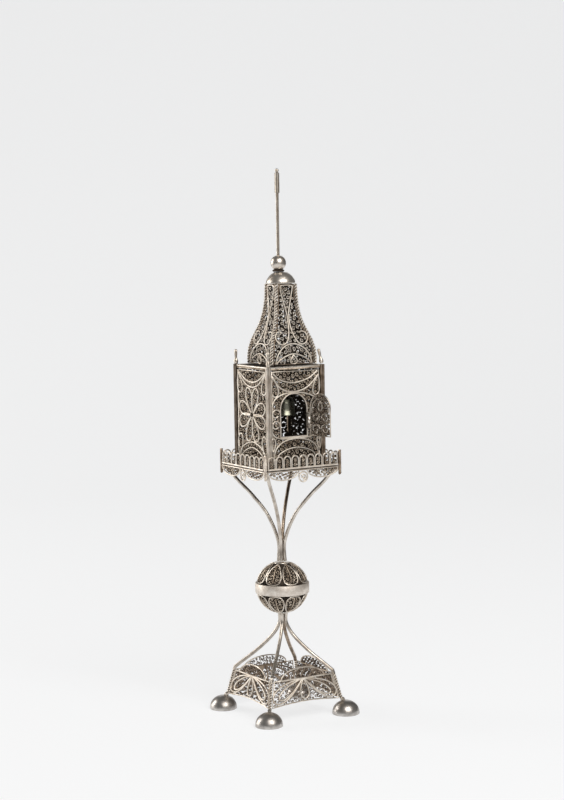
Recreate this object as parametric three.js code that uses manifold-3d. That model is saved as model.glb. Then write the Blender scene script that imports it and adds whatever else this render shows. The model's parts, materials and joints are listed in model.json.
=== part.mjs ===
import * as THREE from "three";
import { mergeVertices } from "three/addons/utils/BufferGeometryUtils.js";
import Module from "manifold-3d";

const wasm = await Module();
wasm.setup();

// Driving dimensions, in millimetres. The origin is on the tower's axis, on the ground, and +Z is up.
const gap = 0.3;
const runningGap = 0.1;

const footSpacing = 39.6;
const footRadius = 6.1;
const footHeight = 6.2;
const footRimHeight = 0.8;

const legWireRadius = 0.8;
const bunchOffset = 1.5;

const apronTopSide = 31.8;
const apronTopZ = 18.8;
const apronBottomSide = 36.8;
const apronBottomZ = 6.9;
const apronArchRise = 4.7;
const apronArchHalf = 11.0;
const apronBandDrop = 0.9;
const apronThickness = 0.7;

const ballCentreZ = 55.9;
const ballRadius = 11.6;
const ballWall = 0.7;
const beltHeight = 4.6;
const beltProud = 0.35;
const stemCollarRadius = 3.6;
const stemCollarHeight = 0.6;
const petalCount = 8;
const petalTurnUpper = 36.2;
const petalTurnLower = -42.7;

const balconySide = 37.8;
const balconyFloorZ = 111.0;
const floorThickness = 0.8;
const railHeight = 5.7;
const railThickness = 0.7;
const skirtDepth = 3.8;
const pendantRadius = 2.35;
const pendantDrop = 4.0;
const railArchCount = 9;
const balconyCornerRadius = 0.8;

const postSpacing = 27.3;
const postWidth = 2.1;
const roofBottomZ = 153.2;
const wallThickness = 0.6;

const doorCentreX = -1.05;
const doorWidth = 13.0;
const doorSillZ = 124.3;
const doorHeight = 18.3;
const doorThickness = 0.7;
const doorClearance = 0.3;
const doorLip = 0.3;
const doorRestAngle = 104;
const hingePinRadius = 0.4;
const hingeWall = 0.35;
const hingeStandOff = 1.45;
const hingeSideStep = 0.3;
const hingeLevel = 0.36;
const hingeKnuckleLength = 4.0;
const hingeLugHeight = 1.2;

const roofPlateThickness = 1.6;
const roofPlateProud = 0.2;
const cornerPinHeight = 6.2;
const cornerPinRadius = 0.65;
const cornerBeadRadius = 1.0;
const bentPinLean = 13;

const spireRibRadius = 0.8;
const spireThickness = 0.6;
const spireHeight = 34.8;
const spireInset = 5.9;
const spireShiftX = 1.3;
const spireShiftY = -0.65;
const spireTurn = -3;
const finialShiftX = 0.5;
const finialShiftY = -0.25;
// Shares of the spire's height, from its foot up, each with the share of its foot's side there
const spireProfile = [
  [0, 1], [0.08, 1.0093], [0.19, 0.9766], [0.3, 0.8879], [0.41, 0.7477], [0.48, 0.6636],
  [0.55, 0.5935], [0.64, 0.528], [0.735, 0.486], [0.865, 0.4533], [1, 0.4393],
];
const spireWaistShare = 0.6;

const capRadius = 6.45;
const capHeight = 4.5;
const capTopRadius = 2.4;
const capRimHeight = 0.4;
const capThickness = 0.8;
const neckBore = 1.2;
const neckSeatRadius = 2.3;
const neckRadius = 2.65;
const neckHeight = 0.9;
const finialRadius = 3.35;
const poleRadius = 0.6;
const poleTopZ = 240.0;
const poleSocketDepth = 2.0;
const poleKnobRadius = 0.85;

const pennantLength = 15.0;
const pennantHeight = 8.6;
const pennantThickness = 0.6;
const pennantWall = 0.35;
const pennantAngle = 58.7;

const bellRadius = 5.0;
const bellHeight = 8.4;
const bellWall = 0.5;
const bellMouthZ = 132.4;
const bellShiftX = 2.2;
const bellShiftY = -1.1;
const bellPivotRadius = 1.0;
const bellWireRadius = 0.3;
const clapperRadius = 0.9;

// Openings of the pierced panels: their sizes, and their places from the panel's middle line and edges
const apronFan = { start: 2.4, length: 6.4, width: 2.4, angles: [-150, -120, -90, -60, -30], drop: 0.6 };
const apronCurl = { length: 5.2, width: 2.6, side: 9.6, rise: 8.2, lean: 28 };
const ballPetal = { start: -3.6, length: 6.6, width: 4.2, latitude: 41, reach: 4.0 };
const rosettePetal = { start: 1.6, length: 4.6, width: 2.0, rise: 1.4 };
const garland = { edge: 1.4, side: 2.0, sag: 5.6, doorSag: 4.6 };
const drops = { length: 6.4, width: 2.6, side: 2.4, above: 10.6, below: 14.6 };
const doorDrops = { length: 6.4, width: 2.2, side: 2.0, above: 2.0, below: 4.6 };
const lowArch = { edge: 1.4, half: 4.4, height: 9.4, doorHalf: 4.6, doorHeight: 8.2 };
const leafArch = { edge: 1.4, side: 3.4, height: 7.0 };
const leafDrop = { length: 4.4, width: 2.4, rise: 10.4 };
const spireArch = { edge: 1.4, half: 5.6, height: 7.6 };
const spireLancet = { half: 1.9, height: 11.5 };
const spireCurl = { length: 4.2, width: 2.4, lean: 0.3, side: 2.9, rise: 10.2 };
const railArch = { edge: 0.7, side: 0.6, crown: 1.3 };

// Finishes
const silver = { color: 0xb9b4aa, metalness: 1.0, roughness: 0.32 };
const darkSilver = { color: 0x8f8a80, metalness: 1.0, roughness: 0.45 };
const brightSilver = { color: 0xd2cec4, metalness: 1.0, roughness: 0.22 };

const tower = new THREE.Group();
const sideNames = ["front", "right", "back", "left"];
const cornerNames = ["front_right", "back_right", "back_left", "front_left"];
const quarterTurn = Math.PI / 2;

function turnedGroups(parent, firstAngle) {
  return sideNames.map((name, k) => {
    const group = new THREE.Group();
    group.rotation.z = firstAngle + k * quarterTurn;
    parent.add(group);
    return group;
  });
}

// A face group turns the front face, whose normal is -Y, to each side in turn.
const faceGroups = turnedGroups(tower, 0);

// A corner group has its own +X along the diagonal to that corner.
const cornerGroups = turnedGroups(tower, -quarterTurn / 2);

function addPiece(parent, name, geometry, finish) {
  const mesh = new THREE.Mesh(geometry, new THREE.MeshStandardMaterial(finish));
  mesh.name = name;
  parent.add(mesh);
  return mesh;
}

function toSolid(geometry) {
  const bare = geometry.clone();
  bare.deleteAttribute("normal");
  bare.deleteAttribute("uv");
  const merged = mergeVertices(bare, 1e-4);
  const mesh = new wasm.Mesh({
    numProp: 3,
    vertProperties: new Float32Array(merged.attributes.position.array),
    triVerts: new Uint32Array(merged.index.array),
  });
  return new wasm.Manifold(mesh);
}

function toGeometry(solid) {
  const mesh = solid.getMesh();
  const geometry = new THREE.BufferGeometry();
  geometry.setAttribute("position", new THREE.BufferAttribute(new Float32Array(mesh.vertProperties), 3));
  geometry.setIndex(new THREE.BufferAttribute(new Uint32Array(mesh.triVerts), 1));
  return geometry;
}

function join(geometries) {
  const solids = geometries.map(toSolid);
  return toGeometry(solids.slice(1).reduce((sum, solid) => sum.add(solid), solids[0]));
}

function cut(geometry, cutters) {
  return toGeometry(cutters.map(toSolid).reduce((rest, solid) => rest.subtract(solid), toSolid(geometry)));
}

function lathe(profile, segments) {
  return new THREE.LatheGeometry(profile.map(([r, z]) => new THREE.Vector2(r, z)), segments)
    .rotateX(quarterTurn);
}

function polygon(points) {
  return new THREE.Shape(points.map(([x, y]) => new THREE.Vector2(x, y)));
}

function regularPolygon(radius, sides) {
  const points = [];
  for (let i = 0; i < sides; i += 1) {
    const angle = (2 * Math.PI * i) / sides;
    points.push([radius * Math.cos(angle), radius * Math.sin(angle)]);
  }
  return polygon(points);
}

// A round wire along a smooth line through points in the X-Z plane of its group.
function wire(points, radius, steps, sides = 8) {
  const places = points.map(([x, z]) => new THREE.Vector3(x, 0, z));
  const path = new THREE.CatmullRomCurve3(places, false, "centripetal");
  return new THREE.ExtrudeGeometry(regularPolygon(radius, sides), {
    steps, bevelEnabled: false, extrudePath: path,
  });
}

function slab(shape, thickness) {
  return new THREE.ExtrudeGeometry(shape, { depth: thickness, bevelEnabled: false, curveSegments: 6 });
}

// A slab with openings cut right through it.
function piercedSlab(outline, openings, thickness) {
  const cutters = openings.map((opening) => slab(opening, 3 * thickness).translate(0, 0, -thickness));
  return cut(slab(outline, thickness), cutters);
}

// A pierced slab drawn in X and height, stood up on the front face at a distance from the axis.
function standingSlab(outline, openings, thickness, distance) {
  return piercedSlab(outline, openings, thickness)
    .rotateX(quarterTurn)
    .translate(0, thickness / 2 - distance, 0);
}

function archPath(centreX, baseZ, halfWidth, height, steps = 6) {
  const points = [[centreX - halfWidth, baseZ], [centreX + halfWidth, baseZ]];
  const springing = baseZ + height - halfWidth;
  for (let i = 0; i <= steps; i += 1) {
    const angle = (Math.PI * i) / steps;
    points.push([centreX + halfWidth * Math.cos(angle), springing + halfWidth * Math.sin(angle)]);
  }
  return polygon(points);
}

// A teardrop with its point at the origin and its round end outwards, turned about the origin and moved.
function teardropPoints(start, length, width, turn, centreX, centreZ, steps = 5) {
  const radius = width / 2;
  const points = [[start, 0]];
  for (let i = 0; i <= steps; i += 1) {
    const angle = -Math.PI / 2 + (Math.PI * i) / steps;
    points.push([start + length - radius + radius * Math.cos(angle), radius * Math.sin(angle)]);
  }
  return points.map(([x, y]) => [
    centreX + x * Math.cos(turn) - y * Math.sin(turn),
    centreZ + x * Math.sin(turn) + y * Math.cos(turn),
  ]);
}

// Feet: four domes, flat below, one under each corner.
const footDiagonal = footSpacing / Math.SQRT2;
const footProfile = [[0, 0], [footRadius, 0]];
const footSteps = 6;
for (let i = 0; i <= footSteps; i += 1) {
  const angle = (quarterTurn * i) / footSteps;
  const domeHeight = footHeight - footRimHeight;
  footProfile.push([footRadius * Math.cos(angle), footRimHeight + domeHeight * Math.sin(angle)]);
}
footProfile[footProfile.length - 1][0] = 0;
cornerGroups.forEach((group, k) => {
  addPiece(group, `foot_${cornerNames[k]}`, lathe(footProfile, 20), brightSilver).position.x = footDiagonal;
});

// Apron: four pierced panels that lean in from the feet to the legs' shoulders.
const apronRun = (apronBottomSide - apronTopSide) / 2;
const apronSlope = Math.hypot(apronRun, apronTopZ - apronBottomZ);
const apronLean = Math.atan2(apronRun, apronTopZ - apronBottomZ);
const apronEdge = legWireRadius + gap + 0.25;
const apronBottomHalf = apronBottomSide / 2 - apronEdge;
const apronTopHalf = apronTopSide / 2 - apronEdge;
function apronGeometry() {
  const outline = [];
  const steps = 10;
  for (let i = 0; i <= steps; i += 1) {
    const t = i / steps;
    const lift = 1.2 * Math.sin(Math.PI * t);
    outline.push([-apronBottomHalf + 2 * apronBottomHalf * t, lift]);
  }
  const bandZ = apronSlope - apronBandDrop;
  outline.push([apronTopHalf, bandZ]);
  for (let i = 0; i <= steps; i += 1) {
    const angle = (Math.PI * i) / steps;
    outline.push([apronArchHalf * Math.cos(angle), bandZ + 0.1 + apronArchRise * Math.sin(angle)]);
  }
  outline.push([-apronTopHalf, bandZ]);
  const openings = [];
  for (const angle of apronFan.angles) {
    const turn = THREE.MathUtils.degToRad(angle);
    const { start, length, width, drop } = apronFan;
    openings.push(polygon(teardropPoints(start, length, width, turn, 0, apronSlope - drop)));
  }
  for (const side of [-1, 1]) {
    const turn = THREE.MathUtils.degToRad(side * apronCurl.lean) - quarterTurn;
    const { length, width, rise } = apronCurl;
    openings.push(polygon(teardropPoints(0, length, width, turn, side * apronCurl.side, rise)));
  }
  return piercedSlab(polygon(outline), openings, apronThickness)
    .translate(0, 0, -apronThickness / 2)
    .rotateX(quarterTurn)
    .rotateX(-apronLean)
    .translate(0, -apronBottomSide / 2, apronBottomZ);
}
faceGroups.forEach((group, k) => {
  addPiece(group, `apron_${sideNames[k]}`, apronGeometry(), darkSilver);
});

// Stem ball: two pierced half shells, a plain belt between them and a collar in each pole's opening.
const poleAngle = Math.acos((stemCollarRadius + gap) / ballRadius);
const collarReach = ballRadius * Math.sin(poleAngle) + stemCollarHeight / 2;
function halfShellGeometry(petalTurn) {
  const seam = Math.asin((beltHeight / 2 + gap) / ballRadius);
  const steps = 7;
  const outer = [];
  const inner = [];
  for (let i = 0; i <= steps; i += 1) {
    const angle = seam + ((poleAngle - seam) * i) / steps;
    outer.push([ballRadius * Math.cos(angle), ballRadius * Math.sin(angle)]);
    const innerRadius = ballRadius - ballWall;
    inner.push([innerRadius * Math.cos(angle), Math.max(innerRadius * Math.sin(angle), outer[0][1])]);
  }
  const profile = [...outer, ...inner.reverse()];
  profile.push(outer[0]);
  const shell = lathe(profile, 24);
  const cutters = [];
  for (let i = 0; i < petalCount; i += 1) {
    const petal = teardropPoints(ballPetal.start, ballPetal.length, ballPetal.width, -quarterTurn, 0, 0);
    const cutter = slab(polygon(petal), ballPetal.reach)
      .translate(0, 0, ballRadius - ballPetal.reach / 2)
      .rotateX(quarterTurn)
      .rotateX(-THREE.MathUtils.degToRad(ballPetal.latitude))
      .rotateZ(quarterTurn + THREE.MathUtils.degToRad(petalTurn) + (2 * Math.PI * i) / petalCount);
    cutters.push(cutter);
  }
  return cut(shell, cutters);
}
const upperShell = addPiece(tower, "stem_ball_upper", halfShellGeometry(petalTurnUpper), darkSilver);
upperShell.position.z = ballCentreZ;
const lowerShell = addPiece(tower, "stem_ball_lower", halfShellGeometry(petalTurnLower), darkSilver);
lowerShell.position.z = ballCentreZ;
lowerShell.rotation.x = Math.PI;
const beltInner = ballRadius - ballWall;
const beltOuter = ballRadius + beltProud;
const beltProfile = [
  [beltInner, -beltHeight / 2], [beltOuter - 0.2, -beltHeight / 2], [beltOuter, -beltHeight / 2 + 0.3],
  [beltOuter, beltHeight / 2 - 0.3], [beltOuter - 0.2, beltHeight / 2], [beltInner, beltHeight / 2],
  [beltInner, -beltHeight / 2],
];
addPiece(tower, "stem_ball_belt", lathe(beltProfile, 32), brightSilver).position.z = ballCentreZ;
const collarEdge = stemCollarHeight / 3;
const stemCollarProfile = [
  [0, 0], [stemCollarRadius - collarEdge, 0], [stemCollarRadius, collarEdge],
  [stemCollarRadius, stemCollarHeight - collarEdge], [stemCollarRadius - collarEdge, stemCollarHeight],
  [0, stemCollarHeight],
];
const upperCollar = addPiece(tower, "stem_collar_top", lathe(stemCollarProfile, 20), silver);
upperCollar.position.z = ballCentreZ + collarReach - stemCollarHeight;
const lowerCollar = addPiece(tower, "stem_collar_bottom", lathe(stemCollarProfile, 20), silver);
lowerCollar.position.z = ballCentreZ - collarReach;

// Legs: one wire a corner, from the bunch under the ball, out over the apron's corner and down to its foot.
const legTopZ = ballCentreZ - collarReach - gap;
const legPath = [
  [bunchOffset, legTopZ],
  [bunchOffset + 0.1, legTopZ - 4.4],
  [bunchOffset + 3.4, legTopZ - 10.0],
  [12.2, 27.2],
  [apronTopSide / Math.SQRT2 - 1.6, apronTopZ + 1.6],
  [apronTopSide / Math.SQRT2 + 0.2, apronTopZ - 0.8],
  [apronBottomSide / Math.SQRT2, apronBottomZ + 0.2],
  [footDiagonal - 0.6, footHeight + gap + legWireRadius * 0.4],
];
cornerGroups.forEach((group, k) => {
  addPiece(group, `leg_wire_${cornerNames[k]}`, wire(legPath, legWireRadius, 20), silver);
});

// Upper stem: four wires in a bunch on the ball's collar, then out to the balcony's corners.
const stemStartZ = ballCentreZ + collarReach + gap;
const floorBottomZ = balconyFloorZ - floorThickness;
const stemPath = [
  [bunchOffset, stemStartZ],
  [bunchOffset, stemStartZ + 9.0],
  [6.0, 87.8],
  [13.0, 96.8],
  [20.0, 103.9],
  [balconySide / Math.SQRT2 - 2.6, floorBottomZ - gap - legWireRadius * 0.55],
];
cornerGroups.forEach((group, k) => {
  addPiece(group, `stem_wire_${cornerNames[k]}`, wire(stemPath, legWireRadius, 18), silver);
});

// Balcony: a floor and four railings of round-topped arches over a scalloped skirt with a round pendant.
const floorSide = balconySide - railThickness - 2 * gap;
addPiece(tower, "balcony_floor", new THREE.BoxGeometry(floorSide, floorSide, floorThickness), darkSilver)
  .position.z = balconyFloorZ - floorThickness / 2;
const railLeft = -balconySide / 2;
function balconySideGeometry() {
  const railHalf = balconySide / 2 - balconyCornerRadius - gap;
  const pitch = (2 * railHalf) / railArchCount;
  const outline = [];
  const archSteps = 4;
  for (let i = railArchCount - 1; i >= 0; i -= 1) {
    const centre = -railHalf + pitch * (i + 0.5);
    for (let j = 0; j < archSteps; j += 1) {
      const angle = (Math.PI * (j + 0.5)) / archSteps;
      const rise = balconyFloorZ + railHeight - pitch / 2 + (pitch / 2) * Math.sin(angle);
      outline.push([centre + (pitch / 2) * Math.cos(angle), rise]);
    }
  }
  const skirtTopZ = balconyFloorZ - 1.0;
  outline.push([-railHalf, skirtTopZ]);
  const scallopSteps = 6;
  const scallopHalf = (railHalf - pendantRadius) / 2;
  const pendantZ = balconyFloorZ - pendantDrop;
  for (const side of [-1, 1]) {
    const centre = side * (pendantRadius + scallopHalf);
    for (let j = 1; j < scallopSteps; j += 1) {
      const angle = Math.PI - (Math.PI * j) / scallopSteps;
      outline.push([centre + scallopHalf * Math.cos(angle), skirtTopZ - skirtDepth * Math.sin(angle)]);
    }
    if (side < 0) {
      outline.push([-pendantRadius, skirtTopZ - 0.6]);
      for (let j = 0; j <= scallopSteps; j += 1) {
        const angle = Math.PI + (Math.PI * j) / scallopSteps;
        outline.push([pendantRadius * Math.cos(angle), pendantZ + pendantRadius * Math.sin(angle)]);
      }
      outline.push([pendantRadius, skirtTopZ - 0.6]);
    }
  }
  outline.push([railHalf, skirtTopZ]);
  const openings = [];
  for (let i = 0; i < railArchCount; i += 1) {
    const centre = -railHalf + pitch * (i + 0.5);
    const half = pitch / 2 - railArch.side;
    openings.push(archPath(centre, balconyFloorZ + railArch.edge, half, railHeight - railArch.crown, 4));
  }
  const panel = standingSlab(polygon(outline), openings, railThickness, balconySide / 2);
  const postBottomZ = balconyFloorZ - skirtDepth - 1.6;
  const postTopZ = balconyFloorZ + railHeight + 0.5;
  const cornerWire = wire([[0, postBottomZ], [0, postTopZ]], balconyCornerRadius, 1)
    .translate(railLeft, -balconySide / 2, 0);
  const linkLength = balconyCornerRadius + gap;
  const link = new THREE.BoxGeometry(linkLength, railThickness, railHeight - 2)
    .translate(railLeft + linkLength / 2 + 0.2, -balconySide / 2, balconyFloorZ + railHeight / 2);
  return join([panel, cornerWire, link]);
}
faceGroups.forEach((group, k) => {
  addPiece(group, `balcony_side_${sideNames[k]}`, balconySideGeometry(), darkSilver);
});

// Chamber: four posts and four pierced walls between the balcony floor and the roof plate.
const postBottomZ = balconyFloorZ + gap;
const roofTopZ = roofBottomZ + roofPlateThickness;
const postHeight = roofTopZ - postBottomZ;
const postDiagonal = postSpacing / Math.SQRT2;
cornerGroups.forEach((group, k) => {
  const post = new THREE.BoxGeometry(postWidth, postWidth, postHeight).rotateZ(quarterTurn / 2);
  const mesh = addPiece(group, `post_${cornerNames[k]}`, post, brightSilver);
  mesh.position.set(postDiagonal, 0, postBottomZ + postHeight / 2);
});
const wallHalf = postSpacing / 2 - postWidth / 2 - gap;
const wallTopZ = roofBottomZ - gap;
const doorTopZ = doorSillZ + doorHeight;
const rosetteZ = (postBottomZ + wallTopZ) / 2 + rosettePetal.rise;
function wallOutline() {
  return polygon([
    [-wallHalf, postBottomZ], [wallHalf, postBottomZ], [wallHalf, wallTopZ], [-wallHalf, wallTopZ],
  ]);
}
function garlandHole(sag) {
  const topZ = wallTopZ - garland.edge;
  const halfWidth = wallHalf - garland.side;
  const points = [];
  const steps = 6;
  for (let i = 0; i <= steps; i += 1) {
    const t = -1 + (2 * i) / steps;
    points.push([halfWidth * t, topZ - sag * (1 - t * t)]);
  }
  return polygon(points);
}
function sideDrops({ length, width, side }, upperZ, lowerZ) {
  return [-1, 1].flatMap((sign) => [
    polygon(teardropPoints(0, length, width, -quarterTurn, sign * (wallHalf - side), upperZ)),
    polygon(teardropPoints(0, length, width, quarterTurn, sign * (wallHalf - side), lowerZ)),
  ]);
}
function plainWallGeometry() {
  const openings = [garlandHole(garland.sag)];
  for (let i = 0; i < petalCount; i += 1) {
    const { start, length, width } = rosettePetal;
    openings.push(polygon(teardropPoints(start, length, width, (i + 0.5) * (quarterTurn / 2), 0, rosetteZ)));
  }
  openings.push(...sideDrops(drops, rosetteZ + drops.above, rosetteZ - drops.below));
  openings.push(archPath(0, postBottomZ + lowArch.edge, lowArch.half, lowArch.height));
  return standingSlab(wallOutline(), openings, wallThickness, postSpacing / 2);
}
function doorWallGeometry() {
  const openings = [
    garlandHole(garland.doorSag),
    archPath(doorCentreX, doorSillZ, doorWidth / 2, doorHeight, 8),
    ...sideDrops(doorDrops, doorTopZ + doorDrops.above, postBottomZ + doorDrops.below),
    archPath(0, postBottomZ + lowArch.edge, lowArch.doorHalf, lowArch.doorHeight),
  ];
  return standingSlab(wallOutline(), openings, wallThickness, postSpacing / 2);
}
faceGroups.forEach((group, k) => {
  const geometry = k === 0 ? doorWallGeometry() : plainWallGeometry();
  addPiece(group, `wall_${sideNames[k]}`, geometry, darkSilver);
});

// Door: an arched leaf with a knuckle that turns on a pin held by two lugs on the front wall.
const hingeX = doorCentreX + doorWidth / 2 + hingeSideStep;
const hingeY = -postSpacing / 2 - hingeStandOff;
const hingeMiddleZ = doorSillZ + doorHeight * hingeLevel;
const knuckleBore = hingePinRadius + runningGap;
const knuckleRadius = knuckleBore + hingeWall;
const knuckleLap = hingeWall / 2;
const doorHinge = new THREE.Group();
doorHinge.position.set(hingeX, hingeY, 0);
tower.add(doorHinge);
function doorGeometry() {
  const leafWidth = doorWidth - 2 * doorClearance;
  const leafNear = knuckleLap - knuckleRadius;
  const centre = leafNear - leafWidth / 2;
  const leafZ = doorSillZ - doorLip;
  const leaf = archPath(centre, leafZ, leafWidth / 2, doorHeight + 2 * doorLip, 8);
  const openings = [
    archPath(centre, leafZ + leafArch.edge, leafWidth / 2 - leafArch.side, leafArch.height),
    polygon(teardropPoints(0, leafDrop.length, leafDrop.width, quarterTurn, centre, leafZ + leafDrop.rise)),
  ];
  const plate = standingSlab(leaf, openings, doorThickness, 0);
  const barrel = new THREE.Shape(regularPolygon(knuckleRadius, 12).getPoints());
  barrel.holes.push(new THREE.Path(regularPolygon(knuckleBore, 12).getPoints()));
  const knuckle = slab(barrel, hingeKnuckleLength).translate(0, 0, hingeMiddleZ - hingeKnuckleLength / 2);
  return join([plate, knuckle]);
}
const door = addPiece(doorHinge, "door", doorGeometry(), silver);
door.rotation.z = THREE.MathUtils.degToRad(doorRestAngle);
function hingePinGeometry() {
  const lugWidth = 2 * (hingePinRadius + 0.05);
  const lugProud = hingePinRadius - 0.1;
  const reach = hingeStandOff - wallThickness / 2 - gap;
  const pinLength = hingeKnuckleLength + 2 * (gap + hingeLugHeight);
  const pin = slab(regularPolygon(hingePinRadius, 12), pinLength)
    .translate(0, 0, hingeMiddleZ - pinLength / 2);
  const lugs = [-1, 1].map((side) => {
    const lug = new THREE.BoxGeometry(lugWidth, reach + lugProud, hingeLugHeight);
    const z = hingeMiddleZ + side * (hingeKnuckleLength / 2 + gap + hingeLugHeight / 2);
    return lug.translate(0, (reach - lugProud) / 2, z);
  });
  return join([pin, ...lugs]);
}
addPiece(doorHinge, "door_hinge_pin", hingePinGeometry(), brightSilver);

// Roof plate, notched round the posts, with a pin on each post. One pin is bent over toward the spire.
const roofHalf = postSpacing / 2 + wallThickness / 2 + roofPlateProud;
const notch = wallHalf;
const roofOutline = [];
for (const [x, y] of [[1, -1], [1, 1], [-1, 1], [-1, -1]]) {
  const first = [x * roofHalf, y * notch];
  const last = [x * notch, y * roofHalf];
  const pair = x * y < 0 ? [last, [x * notch, y * notch], first] : [first, [x * notch, y * notch], last];
  roofOutline.push(...pair);
}
const roofPlate = addPiece(tower, "roof_plate", slab(polygon(roofOutline), roofPlateThickness), silver);
roofPlate.position.z = roofBottomZ;
const cornerPinProfile = [
  [0, 0], [cornerBeadRadius * 0.8, 0.25], [cornerBeadRadius, cornerBeadRadius],
  [cornerBeadRadius * 0.7, cornerBeadRadius * 1.8], [cornerPinRadius * 0.85, cornerBeadRadius * 2.1],
  [cornerPinRadius * 0.85, cornerPinHeight * 0.55], [cornerPinRadius, cornerPinHeight * 0.65],
  [cornerPinRadius, cornerPinHeight - 0.4], [cornerPinRadius * 0.6, cornerPinHeight], [0, cornerPinHeight],
];
cornerGroups.forEach((group, k) => {
  const lean = cornerNames[k] === "front_right" ? THREE.MathUtils.degToRad(bentPinLean) : 0;
  const pin = addPiece(group, `corner_pin_${cornerNames[k]}`, lathe(cornerPinProfile, 10), silver);
  pin.position.set(postDiagonal, 0, roofTopZ + gap + cornerBeadRadius * Math.sin(lean));
  pin.rotation.y = -lean;
});

// Spire: four single-curved panels, an ogee in profile, with a rib along each corner.
const spireBottomZ = roofTopZ + gap;
const spireTopZ = spireBottomZ + spireHeight;
const waistZ = spireBottomZ + spireHeight * spireWaistShare;
const spireFootHalf = (postSpacing - spireInset) / 2;
const spireOutline = spireProfile.map(
  ([rise, side]) => [spireFootHalf * side, spireBottomZ + rise * spireHeight],
);
const spireFrame = new THREE.Group();
spireFrame.position.set(spireShiftX, spireShiftY, 0);
spireFrame.rotation.z = THREE.MathUtils.degToRad(spireTurn);
tower.add(spireFrame);
function spirePanelGeometry() {
  const half = spireThickness / 2;
  const outer = spireOutline.map(([x, z]) => [x + half, z]);
  const inner = spireOutline.map(([x, z]) => [x - half, z]).reverse();
  const sheetWidth = 2 * Math.max(...spireOutline.map(([x]) => x));
  const sheet = slab(polygon([...outer, ...inner]), sheetWidth)
    .translate(0, 0, -sheetWidth / 2)
    .applyMatrix4(new THREE.Matrix4().makeBasis(
      new THREE.Vector3(0, -1, 0), new THREE.Vector3(0, 0, 1), new THREE.Vector3(-1, 0, 0),
    ));
  const clear = spireRibRadius + gap;
  const right = spireOutline.map(([x, z]) => [x - clear, z]);
  const left = spireOutline.map(([x, z]) => [clear - x, z]).reverse();
  const openings = [
    archPath(0, spireBottomZ + spireArch.edge, spireArch.half, spireArch.height),
    archPath(0, waistZ, spireLancet.half, spireLancet.height),
  ];
  for (const side of [-1, 1]) {
    const { length, width } = spireCurl;
    const turn = quarterTurn + side * spireCurl.lean;
    const curlZ = spireBottomZ + spireCurl.rise;
    openings.push(polygon(teardropPoints(0, length, width, turn, side * spireCurl.side, curlZ)));
  }
  const cutter = piercedSlab(polygon([...right, ...left]), openings, sheetWidth).rotateX(quarterTurn);
  return toGeometry(toSolid(sheet).intersect(toSolid(cutter)));
}
turnedGroups(spireFrame, 0).forEach((group, k) => {
  addPiece(group, `spire_panel_${sideNames[k]}`, spirePanelGeometry(), darkSilver);
});
const spireRibPath = spireOutline.map(([x, z]) => [x * Math.SQRT2, z]);
turnedGroups(spireFrame, -quarterTurn / 2).forEach((group, k) => {
  addPiece(group, `spire_rib_${cornerNames[k]}`, wire(spireRibPath, spireRibRadius, 18, 6), silver);
});

// Cap, neck collar and ball on top of the spire: the ball rests on the collar's dished seat.
const capBottomZ = spireTopZ + gap + spireRibRadius * 0.2;
const capInside = capRadius - capThickness;
const capRise = capHeight - capRimHeight;
const capProfile = [
  [0, capHeight - capThickness], [capTopRadius, capHeight - capThickness * 1.2], [capInside, capThickness],
  [capInside, 0], [capRadius - capRimHeight / 2, 0], [capRadius, capRimHeight],
];
const capSteps = 5;
const capReach = Math.acos(capTopRadius / capRadius);
for (let i = 1; i <= capSteps; i += 1) {
  const angle = (capReach * i) / capSteps;
  const rise = (capRise * Math.sin(angle)) / Math.sin(capReach);
  capProfile.push([capRadius * Math.cos(angle), capRimHeight + rise]);
}
capProfile.push([0, capHeight]);
const spireCap = addPiece(tower, "spire_cap", lathe(capProfile, 20), silver);
spireCap.position.set(spireShiftX, spireShiftY, capBottomZ);
const neckBottomZ = capBottomZ + capHeight + gap;
const neckProfile = [
  [neckBore, 0], [neckRadius - gap, 0], [neckRadius, neckHeight / 3], [neckRadius, neckHeight * 0.8],
  [neckSeatRadius, neckHeight], [neckBore, 0],
];
const finialFrame = new THREE.Group();
finialFrame.position.set(finialShiftX, finialShiftY, 0);
tower.add(finialFrame);
addPiece(finialFrame, "neck_collar", lathe(neckProfile, 16), darkSilver).position.z = neckBottomZ;
const finialRise = Math.sqrt((finialRadius + gap) ** 2 - neckSeatRadius ** 2);
const finialCentreZ = neckBottomZ + neckHeight + finialRise;
const socketRadius = poleRadius + gap;
const socketFloor = finialRadius - poleSocketDepth;
const finialProfile = [];
const finialSteps = 10;
const mouthAngle = Math.acos(socketRadius / finialRadius);
for (let i = 0; i <= finialSteps; i += 1) {
  const angle = -quarterTurn + ((quarterTurn + mouthAngle) * i) / finialSteps;
  finialProfile.push([finialRadius * Math.cos(angle), finialRadius * Math.sin(angle)]);
}
finialProfile[0][0] = 0;
finialProfile.push([socketRadius, socketFloor], [0, socketFloor]);
addPiece(finialFrame, "finial_ball", lathe(finialProfile, 18), brightSilver).position.z = finialCentreZ;

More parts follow.
